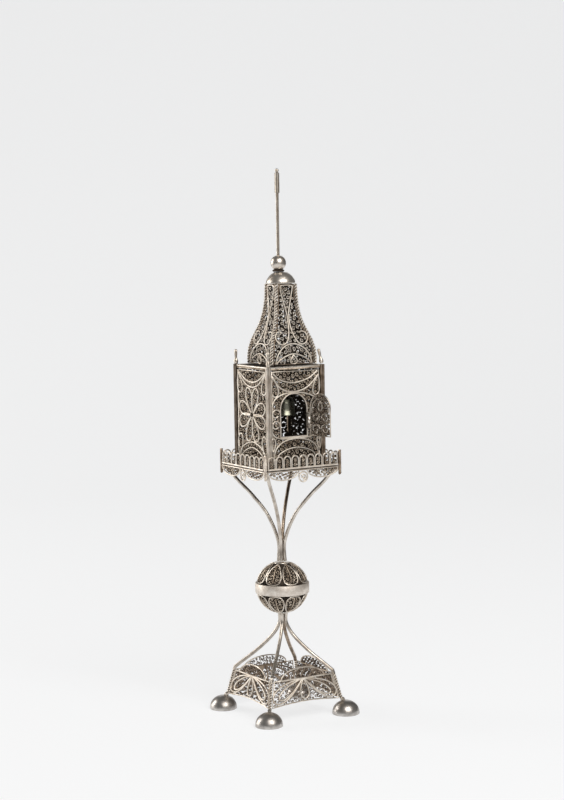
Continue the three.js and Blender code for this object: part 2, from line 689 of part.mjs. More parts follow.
// Pole with a seat and a knob that keep the pennant on it.
const poleBottomZ = finialCentreZ + socketFloor + gap;
const pennantBottomZ = poleTopZ - 2 * poleKnobRadius - gap - pennantHeight;
const seatTopZ = pennantBottomZ - gap;
const knobCentreZ = poleTopZ - poleKnobRadius;
const poleProfile = [
  [0, poleBottomZ], [poleRadius, poleBottomZ], [poleRadius, seatTopZ - 0.9], [poleKnobRadius, seatTopZ - 0.5],
  [poleKnobRadius, seatTopZ], [poleRadius, seatTopZ], [poleRadius, knobCentreZ - poleKnobRadius * 0.8],
  [poleKnobRadius, knobCentreZ], [poleKnobRadius * 0.7, knobCentreZ + poleKnobRadius * 0.7], [0, poleTopZ],
];
addPiece(finialFrame, "pole", lathe(poleProfile, 12), silver);
function pennantGeometry() {
  const bore = poleRadius + runningGap;
  const outside = bore + pennantWall;
  const flag = polygon([
    [outside - 0.15, 0], [outside + pennantLength * 0.62, pennantHeight * 0.16],
    [outside + pennantLength, 0], [outside + pennantLength * 0.86, pennantHeight * 0.5],
    [outside + pennantLength, pennantHeight], [outside + pennantLength * 0.62, pennantHeight * 0.84],
    [outside - 0.15, pennantHeight],
  ]);
  const cloth = slab(flag, pennantThickness).rotateX(quarterTurn).translate(0, pennantThickness / 2, 0);
  const ring = new THREE.Shape(regularPolygon(outside, 12).getPoints());
  ring.holes.push(new THREE.Path(regularPolygon(bore, 12).getPoints()));
  return join([cloth, slab(ring, pennantHeight)]);
}
const pennant = addPiece(finialFrame, "pennant", pennantGeometry(), silver);
pennant.position.z = pennantBottomZ;
pennant.rotation.z = THREE.MathUtils.degToRad(pennantAngle);

// Bell in the chamber: a fixed hook, the bell on it and a clapper in the bell.
const bellCrownZ = bellMouthZ + bellHeight;
const bellEyeZ = bellCrownZ + bellPivotRadius + 1.5 * bellWireRadius - 0.05;
const hookTopZ = roofBottomZ - gap;
const bellFrame = new THREE.Group();
bellFrame.position.set(bellShiftX, bellShiftY, 0);
tower.add(bellFrame);
function ringInXZ(radius, wireRadius, segments, z) {
  return new THREE.TorusGeometry(radius, wireRadius, 6, segments).rotateX(quarterTurn).translate(0, 0, z);
}
const hookEye = ringInXZ(bellPivotRadius, bellWireRadius, 12, bellEyeZ + bellPivotRadius - 0.05);
const hookShankBottomZ = bellEyeZ + 2 * bellPivotRadius - 0.2;
const hookShank = new THREE.CylinderGeometry(0.4, 0.4, hookTopZ - hookShankBottomZ, 8)
  .rotateX(quarterTurn)
  .translate(0, 0, (hookTopZ + hookShankBottomZ) / 2);
addPiece(bellFrame, "bell_hook", join([hookShank, hookEye]), silver);
const bellProfile = [
  [0, bellHeight], [bellRadius * 0.4, bellHeight * 0.965], [bellRadius * 0.68, bellHeight * 0.85],
  [bellRadius * 0.82, bellHeight * 0.66], [bellRadius * 0.87, bellHeight * 0.3], [bellRadius, 0],
  [bellRadius - bellWall, 0], [bellRadius * 0.87 - bellWall, bellHeight * 0.32],
  [bellRadius * 0.82 - bellWall, bellHeight * 0.62], [bellRadius * 0.6 - bellWall, bellHeight * 0.8],
  [0, bellHeight - 1.2],
].reverse();
const bellEar = new THREE.TorusGeometry(bellPivotRadius, bellWireRadius, 6, 12)
  .rotateX(quarterTurn)
  .rotateZ(quarterTurn)
  .translate(0, 0, bellCrownZ + bellPivotRadius + bellWireRadius - 0.25);
const bellCup = lathe(bellProfile, 20).translate(0, 0, bellMouthZ);
addPiece(bellFrame, "bell", join([bellCup, bellEar]), silver);
const clapperZ = bellMouthZ + 0.4;
const clapperTopZ = bellMouthZ + bellHeight - 1.2 - gap;
const clapperProfile = [
  [0, clapperZ - clapperRadius], [clapperRadius * 0.7, clapperZ - clapperRadius * 0.7],
  [clapperRadius, clapperZ], [clapperRadius * 0.7, clapperZ + clapperRadius * 0.7],
  [0.3, clapperZ + clapperRadius], [0.3, clapperTopZ], [0, clapperTopZ],
];
addPiece(bellFrame, "bell_clapper", lathe(clapperProfile, 10), darkSilver);

export default tower;
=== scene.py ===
import json
import random
import bmesh
import bpy
import numpy as np
from math import acos, asin, cos, dist, hypot, inf, pi, radians, sin, sqrt
from mathutils import Matrix, Vector


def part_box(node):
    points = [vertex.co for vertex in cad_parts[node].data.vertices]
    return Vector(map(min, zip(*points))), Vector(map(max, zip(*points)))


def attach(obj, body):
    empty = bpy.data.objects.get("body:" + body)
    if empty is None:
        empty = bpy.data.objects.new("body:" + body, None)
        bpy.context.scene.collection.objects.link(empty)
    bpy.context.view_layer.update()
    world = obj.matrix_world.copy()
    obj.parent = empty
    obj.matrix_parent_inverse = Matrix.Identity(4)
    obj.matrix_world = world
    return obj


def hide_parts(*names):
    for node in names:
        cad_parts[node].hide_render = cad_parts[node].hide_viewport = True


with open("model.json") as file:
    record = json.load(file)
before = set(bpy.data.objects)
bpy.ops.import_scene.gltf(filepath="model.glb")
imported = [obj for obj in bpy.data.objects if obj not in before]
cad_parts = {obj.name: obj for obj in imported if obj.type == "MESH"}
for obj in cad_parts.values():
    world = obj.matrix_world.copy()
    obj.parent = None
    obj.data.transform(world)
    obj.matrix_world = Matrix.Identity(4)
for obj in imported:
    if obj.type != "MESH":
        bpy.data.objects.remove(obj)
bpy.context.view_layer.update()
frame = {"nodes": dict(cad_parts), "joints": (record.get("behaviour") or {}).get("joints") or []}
print("frame loaded")

mm = 0.001
sides = ["front", "right", "back", "left"]
corners = ["front_right", "back_right", "back_left", "front_left"]


def addObject(name, data):
    thing = bpy.data.objects.new(name, data)
    bpy.context.scene.collection.objects.link(thing)
    return thing


# Camera at the photograph's place

camera = {
    "azimuth": -31.26,     # degrees round the tower, 0 looks along +Y
    "distance": 890.4,     # from the tower's axis, mm
    "height": 220.6,       # above the ground, mm
    "pitchDown": 5.24,
    "roll": 0.94,
    "lens": 91.7,
    "shiftX": 0.0035,
}


def makeCamera(settings):
    turn = radians(settings["azimuth"])
    pitch = radians(settings["pitchDown"])
    roll = radians(settings["roll"])
    out = Vector((sin(turn), -cos(turn), 0))
    place = out * settings["distance"] * mm + Vector((0, 0, settings["height"] * mm))
    forward = -out * cos(pitch) - Vector((0, 0, sin(pitch)))
    right = forward.cross(Vector((0, 0, 1))).normalized()
    up = right.cross(forward)
    rightRolled = right * cos(roll) - up * sin(roll)
    upRolled = right * sin(roll) + up * cos(roll)
    turned = Matrix((rightRolled, upRolled, -forward)).transposed().to_4x4()
    data = bpy.data.cameras.new("camera")
    data.lens = settings["lens"]
    data.shift_x = settings["shiftX"]
    data.clip_start = 0.01
    thing = addObject("camera", data)
    thing.matrix_world = Matrix.Translation(place) @ turned
    bpy.context.scene.camera = thing


makeCamera(camera)
print("camera placed")


# Shader helper: python operators on sockets

class Socket:
    def __init__(self, tree, socket):
        self.tree = tree
        self.socket = socket

    def maths(self, operation, other):
        node = self.tree.nodes.new("ShaderNodeMath")
        node.operation = operation
        for slot, value in zip(node.inputs, (self, other)):
            feed(self.tree, slot, value)
        return Socket(self.tree, node.outputs[0])

    def __add__(self, other):
        return self.maths("ADD", other)

    def __mul__(self, other):
        return self.maths("MULTIPLY", other)

    __radd__, __rmul__ = __add__, __mul__


def feed(tree, slot, value):
    if isinstance(value, Socket):
        tree.links.new(value.socket, slot)
    else:
        slot.default_value = value


class Finish:
    def __init__(self, name):
        self.material = bpy.data.materials.new(name)
        self.material.use_nodes = True
        self.tree = self.material.node_tree
        self.shader = self.tree.nodes["Principled BSDF"]

    def node(self, kind, settings=None, inputs=None, output=0):
        made = self.tree.nodes.new(kind)
        for key, value in (settings or {}).items():
            setattr(made, key, value)
        for key, value in (inputs or {}).items():
            feed(self.tree, made.inputs[key], value)
        return Socket(self.tree, made.outputs[output])

    def ramp(self, factor, stops):
        made = self.tree.nodes.new("ShaderNodeValToRGB")
        for element, (place, level) in zip(made.color_ramp.elements, stops):
            element.position = place
            element.color = (level, level, level, 1)
        feed(self.tree, made.inputs[0], factor)
        return Socket(self.tree, made.outputs[0])

    def mix(self, factor, low, high):
        return self.node("ShaderNodeMix", {"data_type": "RGBA"}, {0: factor, 6: low, 7: high}, output=2)

    def set(self, slot, value):
        feed(self.tree, self.shader.inputs[slot], value)


# Silver finishes: the metal's colour, how dark the tarnish in it is, and how rough it is

finishes = {
    "silver": dict(bright=(0.88, 0.81, 0.72), dull=(0.55, 0.47, 0.39), rough=(0.28, 0.42), patch=260, bump=0.12),
    "brightSilver": dict(bright=(0.90, 0.85, 0.78), dull=(0.64, 0.57, 0.49), rough=(0.24, 0.36), patch=190, bump=0.1),
    "wireSilver": dict(bright=(0.94, 0.88, 0.80), dull=(0.70, 0.62, 0.53), rough=(0.44, 0.56), patch=260, bump=0.1),
    "stemSilver": dict(bright=(0.72, 0.66, 0.59), dull=(0.40, 0.345, 0.29), rough=(0.24, 0.36), patch=220, bump=0.12),
    "satinSilver": dict(bright=(0.86, 0.80, 0.73), dull=(0.68, 0.61, 0.54), rough=(0.52, 0.64), patch=420, bump=0.35),
    "softSilver": dict(bright=(0.88, 0.83, 0.76), dull=(0.60, 0.53, 0.46), rough=(0.30, 0.40), patch=240, bump=0.12),
    "pewterSilver": dict(bright=(0.62, 0.59, 0.56), dull=(0.37, 0.345, 0.325), rough=(0.30, 0.42), patch=300,
                         bump=0.12),
    "agedBronze": dict(bright=(0.47, 0.47, 0.38), dull=(0.27, 0.28, 0.22), rough=(0.24, 0.34), patch=240, bump=0.08),
    "darkSilver": dict(bright=(0.87, 0.755, 0.62), dull=(0.30, 0.225, 0.16), rough=(0.36, 0.50), patch=330, bump=0.2),
    # Darker umber silver: a darker tone on the apron and spire frames, and painted shade on the posts and corner
    # wires that face away from the lamps
    "umberSilver": dict(bright=(0.50, 0.40, 0.31), dull=(0.20, 0.15, 0.11), rough=(0.34, 0.46), patch=300, bump=0.15),
    "smokedSilver": dict(bright=(0.27, 0.22, 0.175), dull=(0.11, 0.085, 0.065), rough=(0.40, 0.52), patch=300,
                         bump=0.15),
    # Near black: painted shade where the inside of the tower, the gaps between wires and the grooves of twisted wire
    # lie in shade, together with the dark patina of those hollows
    "shadeAndPatinaBlack": dict(bright=(0.075, 0.058, 0.045), dull=(0.024, 0.019, 0.015), rough=(0.60, 0.80), patch=300,
                            bump=0.15, metal=0, sheen=0.12),
}
tarnishing = {
    "patchDetail": 4.0, "patchRoughness": 0.6, "scuffScale": 9, "scuffDetail": 2.0, "scuffRoughness": 0.5,
    "stops": ((0.38, 0.0), (0.66, 1.0)), "scuffInRough": 0.3, "scuffInBump": 0.4, "bumpDistance": 0.00012,
}


def makeFinish(name, look):
    finish = Finish(name)
    place = finish.node("ShaderNodeTexCoord", output=3)
    patches = finish.node("ShaderNodeTexNoise", inputs={
        "Vector": place, "Scale": look["patch"],
        "Detail": tarnishing["patchDetail"], "Roughness": tarnishing["patchRoughness"],
    })
    scuffs = finish.node("ShaderNodeTexNoise", inputs={
        "Vector": place, "Scale": look["patch"] * tarnishing["scuffScale"],
        "Detail": tarnishing["scuffDetail"], "Roughness": tarnishing["scuffRoughness"],
    })
    tarnish = finish.ramp(patches, tarnishing["stops"])
    finish.set("Base Color", finish.mix(tarnish, (*look["bright"], 1), (*look["dull"], 1)))
    finish.set("Metallic", look.get("metal", 1.0))
    finish.set("Specular IOR Level", look.get("sheen", 0.5))
    smooth, rough = look["rough"]
    share = tarnishing["scuffInRough"]
    finish.set("Roughness", smooth + (rough - smooth) * ((1 - share) * tarnish + share * scuffs))
    share = tarnishing["scuffInBump"]
    bump = finish.node("ShaderNodeBump", inputs={
        "Strength": look["bump"], "Distance": tarnishing["bumpDistance"],
        "Height": (1 - share) * patches + share * scuffs,
    })
    finish.set("Normal", bump)
    return finish.material


materials = {name: makeFinish(name, look) for name, look in finishes.items()}
print("finishes made")


# Outlines in a panel's own plane, in mm: x across, y up

def smoothLine(points, steps):
    count = len(points)
    line = []
    for i in range(count - 1):
        quad = [points[min(max(i + k - 1, 0), count - 1)] for k in range(4)]
        for step in range(steps):
            t = step / steps
            weights = (
                -0.5 * t + t * t - 0.5 * t ** 3, 1 - 2.5 * t * t + 1.5 * t ** 3,
                0.5 * t + 2 * t * t - 1.5 * t ** 3, -0.5 * t * t + 0.5 * t ** 3,
            )
            line.append(tuple(sum(w * q[axis] for w, q in zip(weights, quad)) for axis in (0, 1)))
    line.append(tuple(points[-1]))
    return line


def arcLine(x, y, across, up, first, last, steps):
    angles = [first + (last - first) * i / steps for i in range(steps + 1)]
    return [(x + across * cos(angle), y + up * sin(angle)) for angle in angles]


def archLine(x, base, halfWidth, height, steps=14):
    springing = base + max(0.0, height - halfWidth)
    line = arcLine(x, springing, halfWidth, min(height, halfWidth), 0, pi, steps)
    if height > halfWidth:
        line = [(x + halfWidth, base)] + line + [(x - halfWidth, base)]
    return line


def teardropLine(x, y, length, width, degrees, steps=20, sharpness=1.2, fullness=1.18):
    turn = radians(degrees)
    line = []
    for i in range(steps + 1):
        t = 2 * pi * i / steps
        along = length * (1 - cos(t)) / 2
        across = width / 2 * sin(t) * sin(t / 2) ** sharpness * -fullness
        line.append((x + along * cos(turn) - across * sin(turn),
                     y + along * sin(turn) + across * cos(turn)))
    return line


def spiralLine(x, y, outer, inner, turns, start, hand, steps):
    line = []
    for i in range(steps + 1):
        t = i / steps
        radius = outer + (inner - outer) * t
        angle = start + hand * turns * 2 * pi * t
        line.append((x + radius * cos(angle), y + radius * sin(angle)))
    return line


def bothWays(lines):
    return [way for line in lines for way in (line, [(-x, y) for x, y in line])]


def looped(line):
    return [*line, line[0]]


def insideOutline(points, outline):
    x, y = points[:, 0], points[:, 1]
    within = np.zeros(len(points), bool)
    count = len(outline)
    for i in range(count):
        x0, y0 = outline[i]
        x1, y1 = outline[(i + 1) % count]
        if y0 != y1:
            crosses = ((y0 > y) != (y1 > y)) & (x < (x1 - x0) * (y - y0) / (y1 - y0) + x0)
            within ^= crosses
    return within


def denseLine(line, pitch):
    points = []
    for a, b in zip(line, line[1:]):
        count = max(1, int(dist(a, b) / pitch))
        points += [(a[0] + (b[0] - a[0]) * i / count, a[1] + (b[1] - a[1]) * i / count) for i in range(count)]
    points.append(line[-1])
    return points


def packCurls(outline, wires, holes, look):
    # Rows of curls fill a panel between its main wires, and smaller ones fill what the rows leave.
    pitch = look["searchStep"]
    low = np.min(outline, axis=0)
    high = np.max(outline, axis=0)
    size = look["rowSize"]
    middle = (low + high) / 2
    reach = dist(low, high) / 2
    turn = radians(look["rowTurn"])
    spread = random.Random(look["rowSeed"])
    rows = []
    for row, v in enumerate(np.arange(-reach, reach, size * sqrt(3))):
        for u in np.arange(-reach + (size if row % 2 else 0), reach, 2 * size):
            x = u + spread.uniform(-1, 1) * look["rowStray"]
            y = v + spread.uniform(-1, 1) * look["rowStray"]
            rows.append((middle[0] + x * cos(turn) - y * sin(turn),
                         middle[1] + x * sin(turn) + y * cos(turn)))
    fine = [(x, y) for x in np.arange(low[0], high[0], pitch) for y in np.arange(low[1], high[1], pitch)]
    spots = np.array(rows + fine)
    within = insideOutline(spots, outline)
    for hole in holes:
        within &= ~insideOutline(spots, hole)
    room = np.where(within, inf, 0.0)
    for line in [*wires, looped(outline)]:
        for point in denseLine(line, look["wireStep"]):
            room = np.minimum(room, ((spots - point) ** 2).sum(1))
    room = np.sqrt(room) - look["wireClear"]
    curls = []

    def add(index, radius):
        nonlocal room
        curls.append((spots[index][0], spots[index][1], radius))
        room = np.minimum(room, np.sqrt(((spots - spots[index]) ** 2).sum(1)) - radius - look["curlGap"])

    for index in range(len(rows)):
        if room[index] >= look["rowLeast"]:
            add(index, min(size, room[index]))
    for small in look["sizes"]:
        while True:
            fits = np.flatnonzero(room >= small)
            if len(fits) == 0:
                break
            add(fits[np.argmin(room[fits])], small)
    return curls


def curlLines(curls, look, seed):
    # A wide curl winds further than a small one.
    spread = random.Random(seed)
    lines = []
    for x, y, size in curls:
        start = spread.uniform(0, 2 * pi)
        wide = size > look["wideFrom"]
        turns, steps = look["wideTurns" if wide else "smallTurns"]
        lines.append(spiralLine(x, y, size, size * look["eye"], turns, start, spread.choice((-1, 1)), steps))
    return lines


# Round wires along lines in space, and flat wires set on edge in a panel

same = 1e-6    # distance in mm under which two points are one
flat = 0.001   # rise in mm under which a face of a flat wire is one of its edges


def meshFrom(work, smooth=True):
    bmesh.ops.recalc_face_normals(work, faces=work.faces)
    for face in work.faces:
        face.smooth = smooth
    data = bpy.data.meshes.new("part")
    work.to_mesh(data)
    work.free()
    return data


def moved(mesh, x, y, z):
    mesh.transform(Matrix.Translation((x * mm, y * mm, z * mm)))
    return mesh


def wireMesh(lines, radius, corners=1):
    data = bpy.data.curves.new("wires", "CURVE")
    data.dimensions = "3D"
    data.bevel_depth = radius * mm
    data.bevel_resolution = corners
    data.use_fill_caps = True
    for line in lines:
        spline = data.splines.new("POLY")
        closed = dist(line[0], line[-1]) < same
        points = line[:-1] if closed else line
        spline.points.add(len(points) - 1)
        spline.points.foreach_set("co", [value for x, y, z in points for value in (x * mm, y * mm, z * mm, 1.0)])
        spline.use_cyclic_u = closed
    holder = addObject("wires", data)
    ready = holder.evaluated_get(bpy.context.evaluated_depsgraph_get())
    mesh = bpy.data.meshes.new_from_object(ready)
    bpy.data.objects.remove(holder)
    bpy.data.curves.remove(data)
    return mesh


def ribbonMesh(lines, place, thickness, back, front):
    # The first material is the wire's two edges, the second its sides, which the panels make near black as painted
    # shade.
    work = bmesh.new()
    for line in lines:
        points = [work.verts.new((x, y, back)) for x, y in line]
        for pair in zip(points, points[1:]):
            work.edges.new(pair)
    grown = bmesh.ops.extrude_edge_only(work, edges=work.edges[:])
    made = [v for v in grown["geom"] if isinstance(v, bmesh.types.BMVert)]
    bmesh.ops.translate(work, verts=made, vec=(0, 0, front - back))
    bmesh.ops.recalc_face_normals(work, faces=work.faces)
    bmesh.ops.solidify(work, geom=work.faces[:], thickness=thickness)
    for face in work.faces:
        levels = [v.co.z for v in face.verts]
        face.material_index = 0 if max(levels) - min(levels) < flat else 1
    for vert in work.verts:
        vert.co = Vector(place(*vert.co)) * mm
    return meshFrom(work)


def shadeLiningMesh(curls, place, look):
    # Small round plates behind the curls, near black as painted shade, leave only the corners between them open.
    level = look["ribbonBack"] + look["liningUp"]
    work = bmesh.new()
    for x, y, size in curls:
        radius = size * look["lining"]
        bmesh.ops.create_cone(work, cap_ends=True, segments=look["liningSides"], radius1=radius, radius2=radius,
                              depth=look["liningDepth"], matrix=Matrix.Translation((x, y, level)))
    for vert in work.verts:
        vert.co = Vector(place(*vert.co)) * mm
    return meshFrom(work, smooth=False)


def makePiece(name, parts, nodes, body="tower"):
    # parts are (mesh, finishes) pairs; the piece stands for the CAD nodes and rides on the body
    joined = bmesh.new()
    used = []
    for mesh, finish in parts:
        wanted = [finish] if isinstance(finish, str) else list(finish)
        used += [each for each in wanted if each not in used]
        before = len(joined.faces)
        joined.from_mesh(mesh)
        joined.faces.ensure_lookup_table()
        for face in joined.faces[before:]:
            face.material_index = used.index(wanted[min(face.material_index, len(wanted) - 1)])
        bpy.data.meshes.remove(mesh)
    data = bpy.data.meshes.new(name)
    joined.to_mesh(data)
    joined.free()
    for finish in used:
        data.materials.append(materials[finish])
    piece = addObject(name, data)
    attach(piece, body)
    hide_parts(*nodes)


def turnedMesh(profile, segments, mergeDistance=0.00001):
    # A profile of (radius, height) in mm, spun about the tower's axis.
    work = bmesh.new()
    points = [work.verts.new((r * mm, 0, z * mm)) for r, z in profile]
    edges = [work.edges.new(pair) for pair in zip(points, points[1:])]
    bmesh.ops.spin(work, geom=points + edges, cent=(0, 0, 0), axis=(0, 0, 1), dvec=(0, 0, 0),
                   angle=2 * pi, steps=segments, use_merge=True, use_duplicate=False)
    bmesh.ops.remove_doubles(work, verts=work.verts, dist=mergeDistance)
    return meshFrom(work)


def twistLines(path, reach, pitch, stepsPerTurn=8, strands=2):
    # Strands that wind round a path in space, as twisted wire does.
    points = [Vector(p) for p in path]
    lengths = [0.0]
    for a, b in zip(points, points[1:]):
        lengths.append(lengths[-1] + (b - a).length)
    count = max(2, int(lengths[-1] / pitch * stepsPerTurn))
    lines = [[] for _ in range(strands)]
    side = Vector((0, 0, 1)).cross(points[-1] - points[0])
    side = side.normalized() if side.length > same else Vector((1, 0, 0))
    for i in range(count + 1):
        along = lengths[-1] * i / count
        k = min(len(points) - 2, max(0, int(np.searchsorted(lengths, along)) - 1))
        t = (along - lengths[k]) / (lengths[k + 1] - lengths[k])
        centre = points[k].lerp(points[k + 1], t)
        tangent = (points[k + 1] - points[k]).normalized()
        first = (side - tangent * side.dot(tangent)).normalized()
        second = tangent.cross(first)
        for n, line in enumerate(lines):
            angle = 2 * pi * (along / pitch + n / strands)
            line.append(centre + reach * (first * cos(angle) + second * sin(angle)))
    return lines


# Places on the tower: each takes a panel's x, y and a step outwards, and gives a point in space, in mm

def turnPoint(x, y, z, quarters):
    angle = quarters * pi / 2
    return (x * cos(angle) - y * sin(angle), x * sin(angle) + y * cos(angle), z)


def onUpright(distance, quarters):
    return lambda x, y, out=0.0: turnPoint(x, -distance - out, y, quarters)


def placed(lines, place, out=0.0):
    return [[place(x, y, out) for x, y in line] for line in lines]


def nodeBox(name):
    low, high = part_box(name)
    return [value / mm for value in low], [value / mm for value in high]


def nodeMiddle(name):
    # Where a node's middle stands, and the heights of its lowest and highest points.
    low, high = nodeBox(name)
    return (low[0] + high[0]) / 2, (low[1] + high[1]) / 2, low[2], high[2]


# Filigree: what a panel has unless its own section says otherwise, in mm

filigreeLook = {
    "rowSize": 1.15, "rowTurn": 19, "rowStray": 0.12, "rowSeed": 5, "rowLeast": 0.62,
    "sizes": (0.84, 0.66, 0.5, 0.38), "searchStep": 0.2, "wireStep": 0.3, "eye": 0.3,
    "wireClear": 0.14, "curlGap": -0.05, "wideFrom": 0.7, "wideTurns": (1.2, 15), "smallTurns": (1.05, 9),
    "ribbon": 0.27, "ribbonBack": -0.5, "ribbonFront": 0.1,
    "lining": 0.98, "liningUp": 0.05, "liningSides": 9, "liningDepth": 0.14,
    "mainWire": 0.36, "mainOut": 0.1, "shadeWire": 0.52, "shadeOut": -0.24, "frameWire": 0.32,
    # The sides of the curls and the plates behind them are near black: painted shade.
    "edgeFinish": "darkSilver", "shadeSideFinish": "shadeAndPatinaBlack", "mainFinish": "wireSilver",
    "frameFinish": "silver", "shadeFinish": "shadeAndPatinaBlack",
}


def filigree(place, main, curls, frameLines, look, seed):
    # The parts of one panel: its curls, its main wires standing proud on a thicker dark wire behind them that paints
    # shade round them, and its frame.
    fill = ribbonMesh(curlLines(curls, look, seed), place, look["ribbon"], look["ribbonBack"], look["ribbonFront"])
    parts = [(fill, (look["edgeFinish"], look["shadeSideFinish"]))]
    if look["lining"]:
        parts.append((shadeLiningMesh(curls, place, look), look["shadeSideFinish"]))
    if look["shadeWire"]:
        parts.append((wireMesh(placed(main, place, look["shadeOut"]), look["shadeWire"]), look["shadeFinish"]))
    parts.append((wireMesh(placed(main, place, look["mainOut"]), look["mainWire"]), look["mainFinish"]))
    if frameLines:
        parts.append((wireMesh(placed(frameLines, place), look["frameWire"]), look["frameFinish"]))
    return parts


def hung(points, steps=5):
    # A curve given from its middle to its right end, made whole by its mirror image.
    left = [(-x, y) for x, y in reversed(points) if x > 0]
    return smoothLine(left + list(points), steps)


# Chamber walls

wall = {
    "inset": 0.35, "seed": 30, "petalStart": 0.25,
    "boss": [(0, 1.0), (0.65, 0.85), (1.1, 0.4), (1.1, -0.3), (0, -0.3)], "bossSides": 16,
    "garlands": ([(0, 147.6), (5.6, 148.7), (11.4, 152.2)], [(0, 145.4), (5.8, 146.9), (11.2, 151.4)]),
    "rosetteZ": 133.3, "upPetal": (12.2, 5.6, 73), "sidePetal": (11.2, 6.4, 21),
    "topDrop": (11.5, 151.6, 9.2, 4.6, -101), "lowDrop": (11.3, 113.6, 11.0, 4.6, 98),
    "lowArch": [(0, 121.4), (7.0, 119.5), (10.6, 116.2), (11.6, 112.6)],
    "lowInner": [(0, 118.9), (4.4, 118.0), (8.6, 115.6), (10.2, 112.8)],
}
doorWall = {
    "centre": -1.05, "half": 6.5, "sill": 124.3, "height": 18.3, "frameOut": 0.3, "seed": 21,
    "garlands": ([(0, 147.5), (4.4, 148.2), (8.0, 149.5), (11.3, 152.1)],
                 [(0, 143.6), (4.4, 144.3), (8.0, 146.3), (11.5, 150.2)]),
    "topDrop": (11.6, 150.6, 9.0, 4.0, -100),
    "surround": [(0, 143.2), (3.0, 143.1), (6.6, 142.4), (10.4, 140.5), (12.0, 137.6)],
    "scrolls": ((10.1, 134.2, 2.3), (10.2, 129.3, 2.2)),
    "scrollEye": 0.55, "scrollTurns": 0.95, "scrollStart": 1.1 * pi, "scrollSteps": 16,
    "sillBand": [(0, 123.6), (6.0, 123.4), (10.4, 124.6), (12.2, 126.6)],
    "lowArch": [(0, 123.2), (5.6, 122.4), (9.2, 120.3), (11.0, 117.4), (11.7, 112.6)],
    "lowInner": [(0, 119.3), (4.6, 118.6), (8.8, 116.6), (10.3, 113.0)],
    "lowDrop": (11.8, 117.6, 6.2, 2.6, 92),
}


def wallLimits(name):
    low, high = nodeBox(name)
    half = max(high[0] - low[0], high[1] - low[1]) / 2
    return half, low[2], high[2]


def plainWallLines():
    main = [hung(points) for points in wall["garlands"] + (wall["lowArch"], wall["lowInner"])]
    for length, width, angle in (wall["upPetal"], wall["sidePetal"]):
        main += bothWays([teardropLine(wall["petalStart"], wall["rosetteZ"], length, width, degrees)
                          for degrees in (angle, -angle)])
    main += bothWays([teardropLine(*wall["topDrop"]), teardropLine(*wall["lowDrop"])])
    return main


def drawnOver(line, half):
    # The middle of a line follows the doorway, and its ends stay at the posts.
    return [(x + doorWall["centre"] * max(0.0, 1 - (x / half) ** 2), y) for x, y in line]


def doorWallLines(half):
    out = doorWall["frameOut"]
    arch = archLine(doorWall["centre"], doorWall["sill"] - out, doorWall["half"] + out, doorWall["height"] + 2 * out)
    main = [drawnOver(hung(doorWall[name]), half) for name in ("surround", "sillBand")]
    main += [hung(doorWall[name]) for name in ("lowArch", "lowInner")]
    main += [drawnOver(hung(points), half) for points in doorWall["garlands"]]
    main += [arch, [arch[0], arch[-1]]]
    main += bothWays([teardropLine(*doorWall["topDrop"]), teardropLine(*doorWall["lowDrop"])])
    for x, z, radius in doorWall["scrolls"]:
        main += bothWays([spiralLine(x, z, radius, radius * doorWall["scrollEye"], doorWall["scrollTurns"],
                                     doorWall["scrollStart"], -1, doorWall["scrollSteps"])])
    return main


def rectangle(half, bottom, top, inset):
    right, low, high = half - inset, bottom + inset, top - inset
    return [(-right, low), (right, low), (right, high), (-right, high)]


def makeWalls():
    half, bottom, top = wallLimits("wall_left")
    outline = rectangle(half, bottom, top, 0)
    edge = [looped(rectangle(half, bottom, top, wall["inset"]))]
    plain = plainWallLines()
    plainCurls = packCurls(outline, plain, [], filigreeLook)
    doorLines = doorWallLines(half)
    hole = archLine(doorWall["centre"], doorWall["sill"], doorWall["half"], doorWall["height"])
    doorCurls = packCurls(outline, doorLines, [hole], filigreeLook)
    distance = -nodeMiddle("wall_front")[1]
    for quarters, side in enumerate(sides):
        place = onUpright(distance, quarters)
        if side == "front":
            parts = filigree(place, doorLines, doorCurls, edge, filigreeLook, doorWall["seed"])
        else:
            parts = filigree(place, plain, plainCurls, edge, filigreeLook, wall["seed"] + quarters)
            boss = turnedMesh(wall["boss"], wall["bossSides"])
            boss.transform(Matrix.Rotation(pi / 2, 4, "X"))
            moved(boss, 0, -distance, wall["rosetteZ"])
            boss.transform(Matrix.Rotation(quarters * pi / 2, 4, "Z"))
            parts.append((boss, "shadeAndPatinaBlack"))
        makePiece("wallFiligree_" + side, parts, ["wall_" + side])


makeWalls()
print("walls made")


# Spire panels and twisted ribs, on one ogee curve; the spire stands off centre and a little turned

spireBottom, spireTop = nodeMiddle("spire_panel_front")[2:]
spire = {
    "shift": (1.3, -0.65), "turn": -3, "ribRadius": 0.8, "gap": 0.3, "edgeIn": 0.3, "edgeSteps": 24, "ribSteps": 40,
    "profile": [(0, 21.4), (0.08, 21.6), (0.19, 20.9), (0.3, 19.0), (0.41, 16.0), (0.48, 14.2),
                (0.55, 12.7), (0.64, 11.3), (0.735, 10.4), (0.865, 9.7), (1, 9.4)],
    "lowArch": [(0, 164.1), (3.2, 163.5), (6.2, 161.4), (8.1, 158.6), (8.9, 155.6)],
    "lowInner": [(0, 159.8), (4.2, 158.7), (7.2, 156.9), (8.4, 155.6)],
    "drop": (0, 159.3, 3.9, 3.8, -90),
    "hook": [(3.1, 188.9), (2.6, 186.0), (1.7, 182.4), (0.55, 177.4), (0.36, 174.0), (0.55, 170.6), (1.3, 167.4),
             (2.8, 164.8), (4.8, 163.8), (6.9, 164.7), (7.8, 166.8), (7.0, 168.8), (5.3, 169.4), (4.2, 168.7)],
    "crown": [(0, 189.5), (1.7, 189.4), (3.1, 188.9)],
    "twist": 2.5, "ropeReach": 0.5, "ropeWire": 0.3, "ropeCore": 0.4, "seed": 50,
}


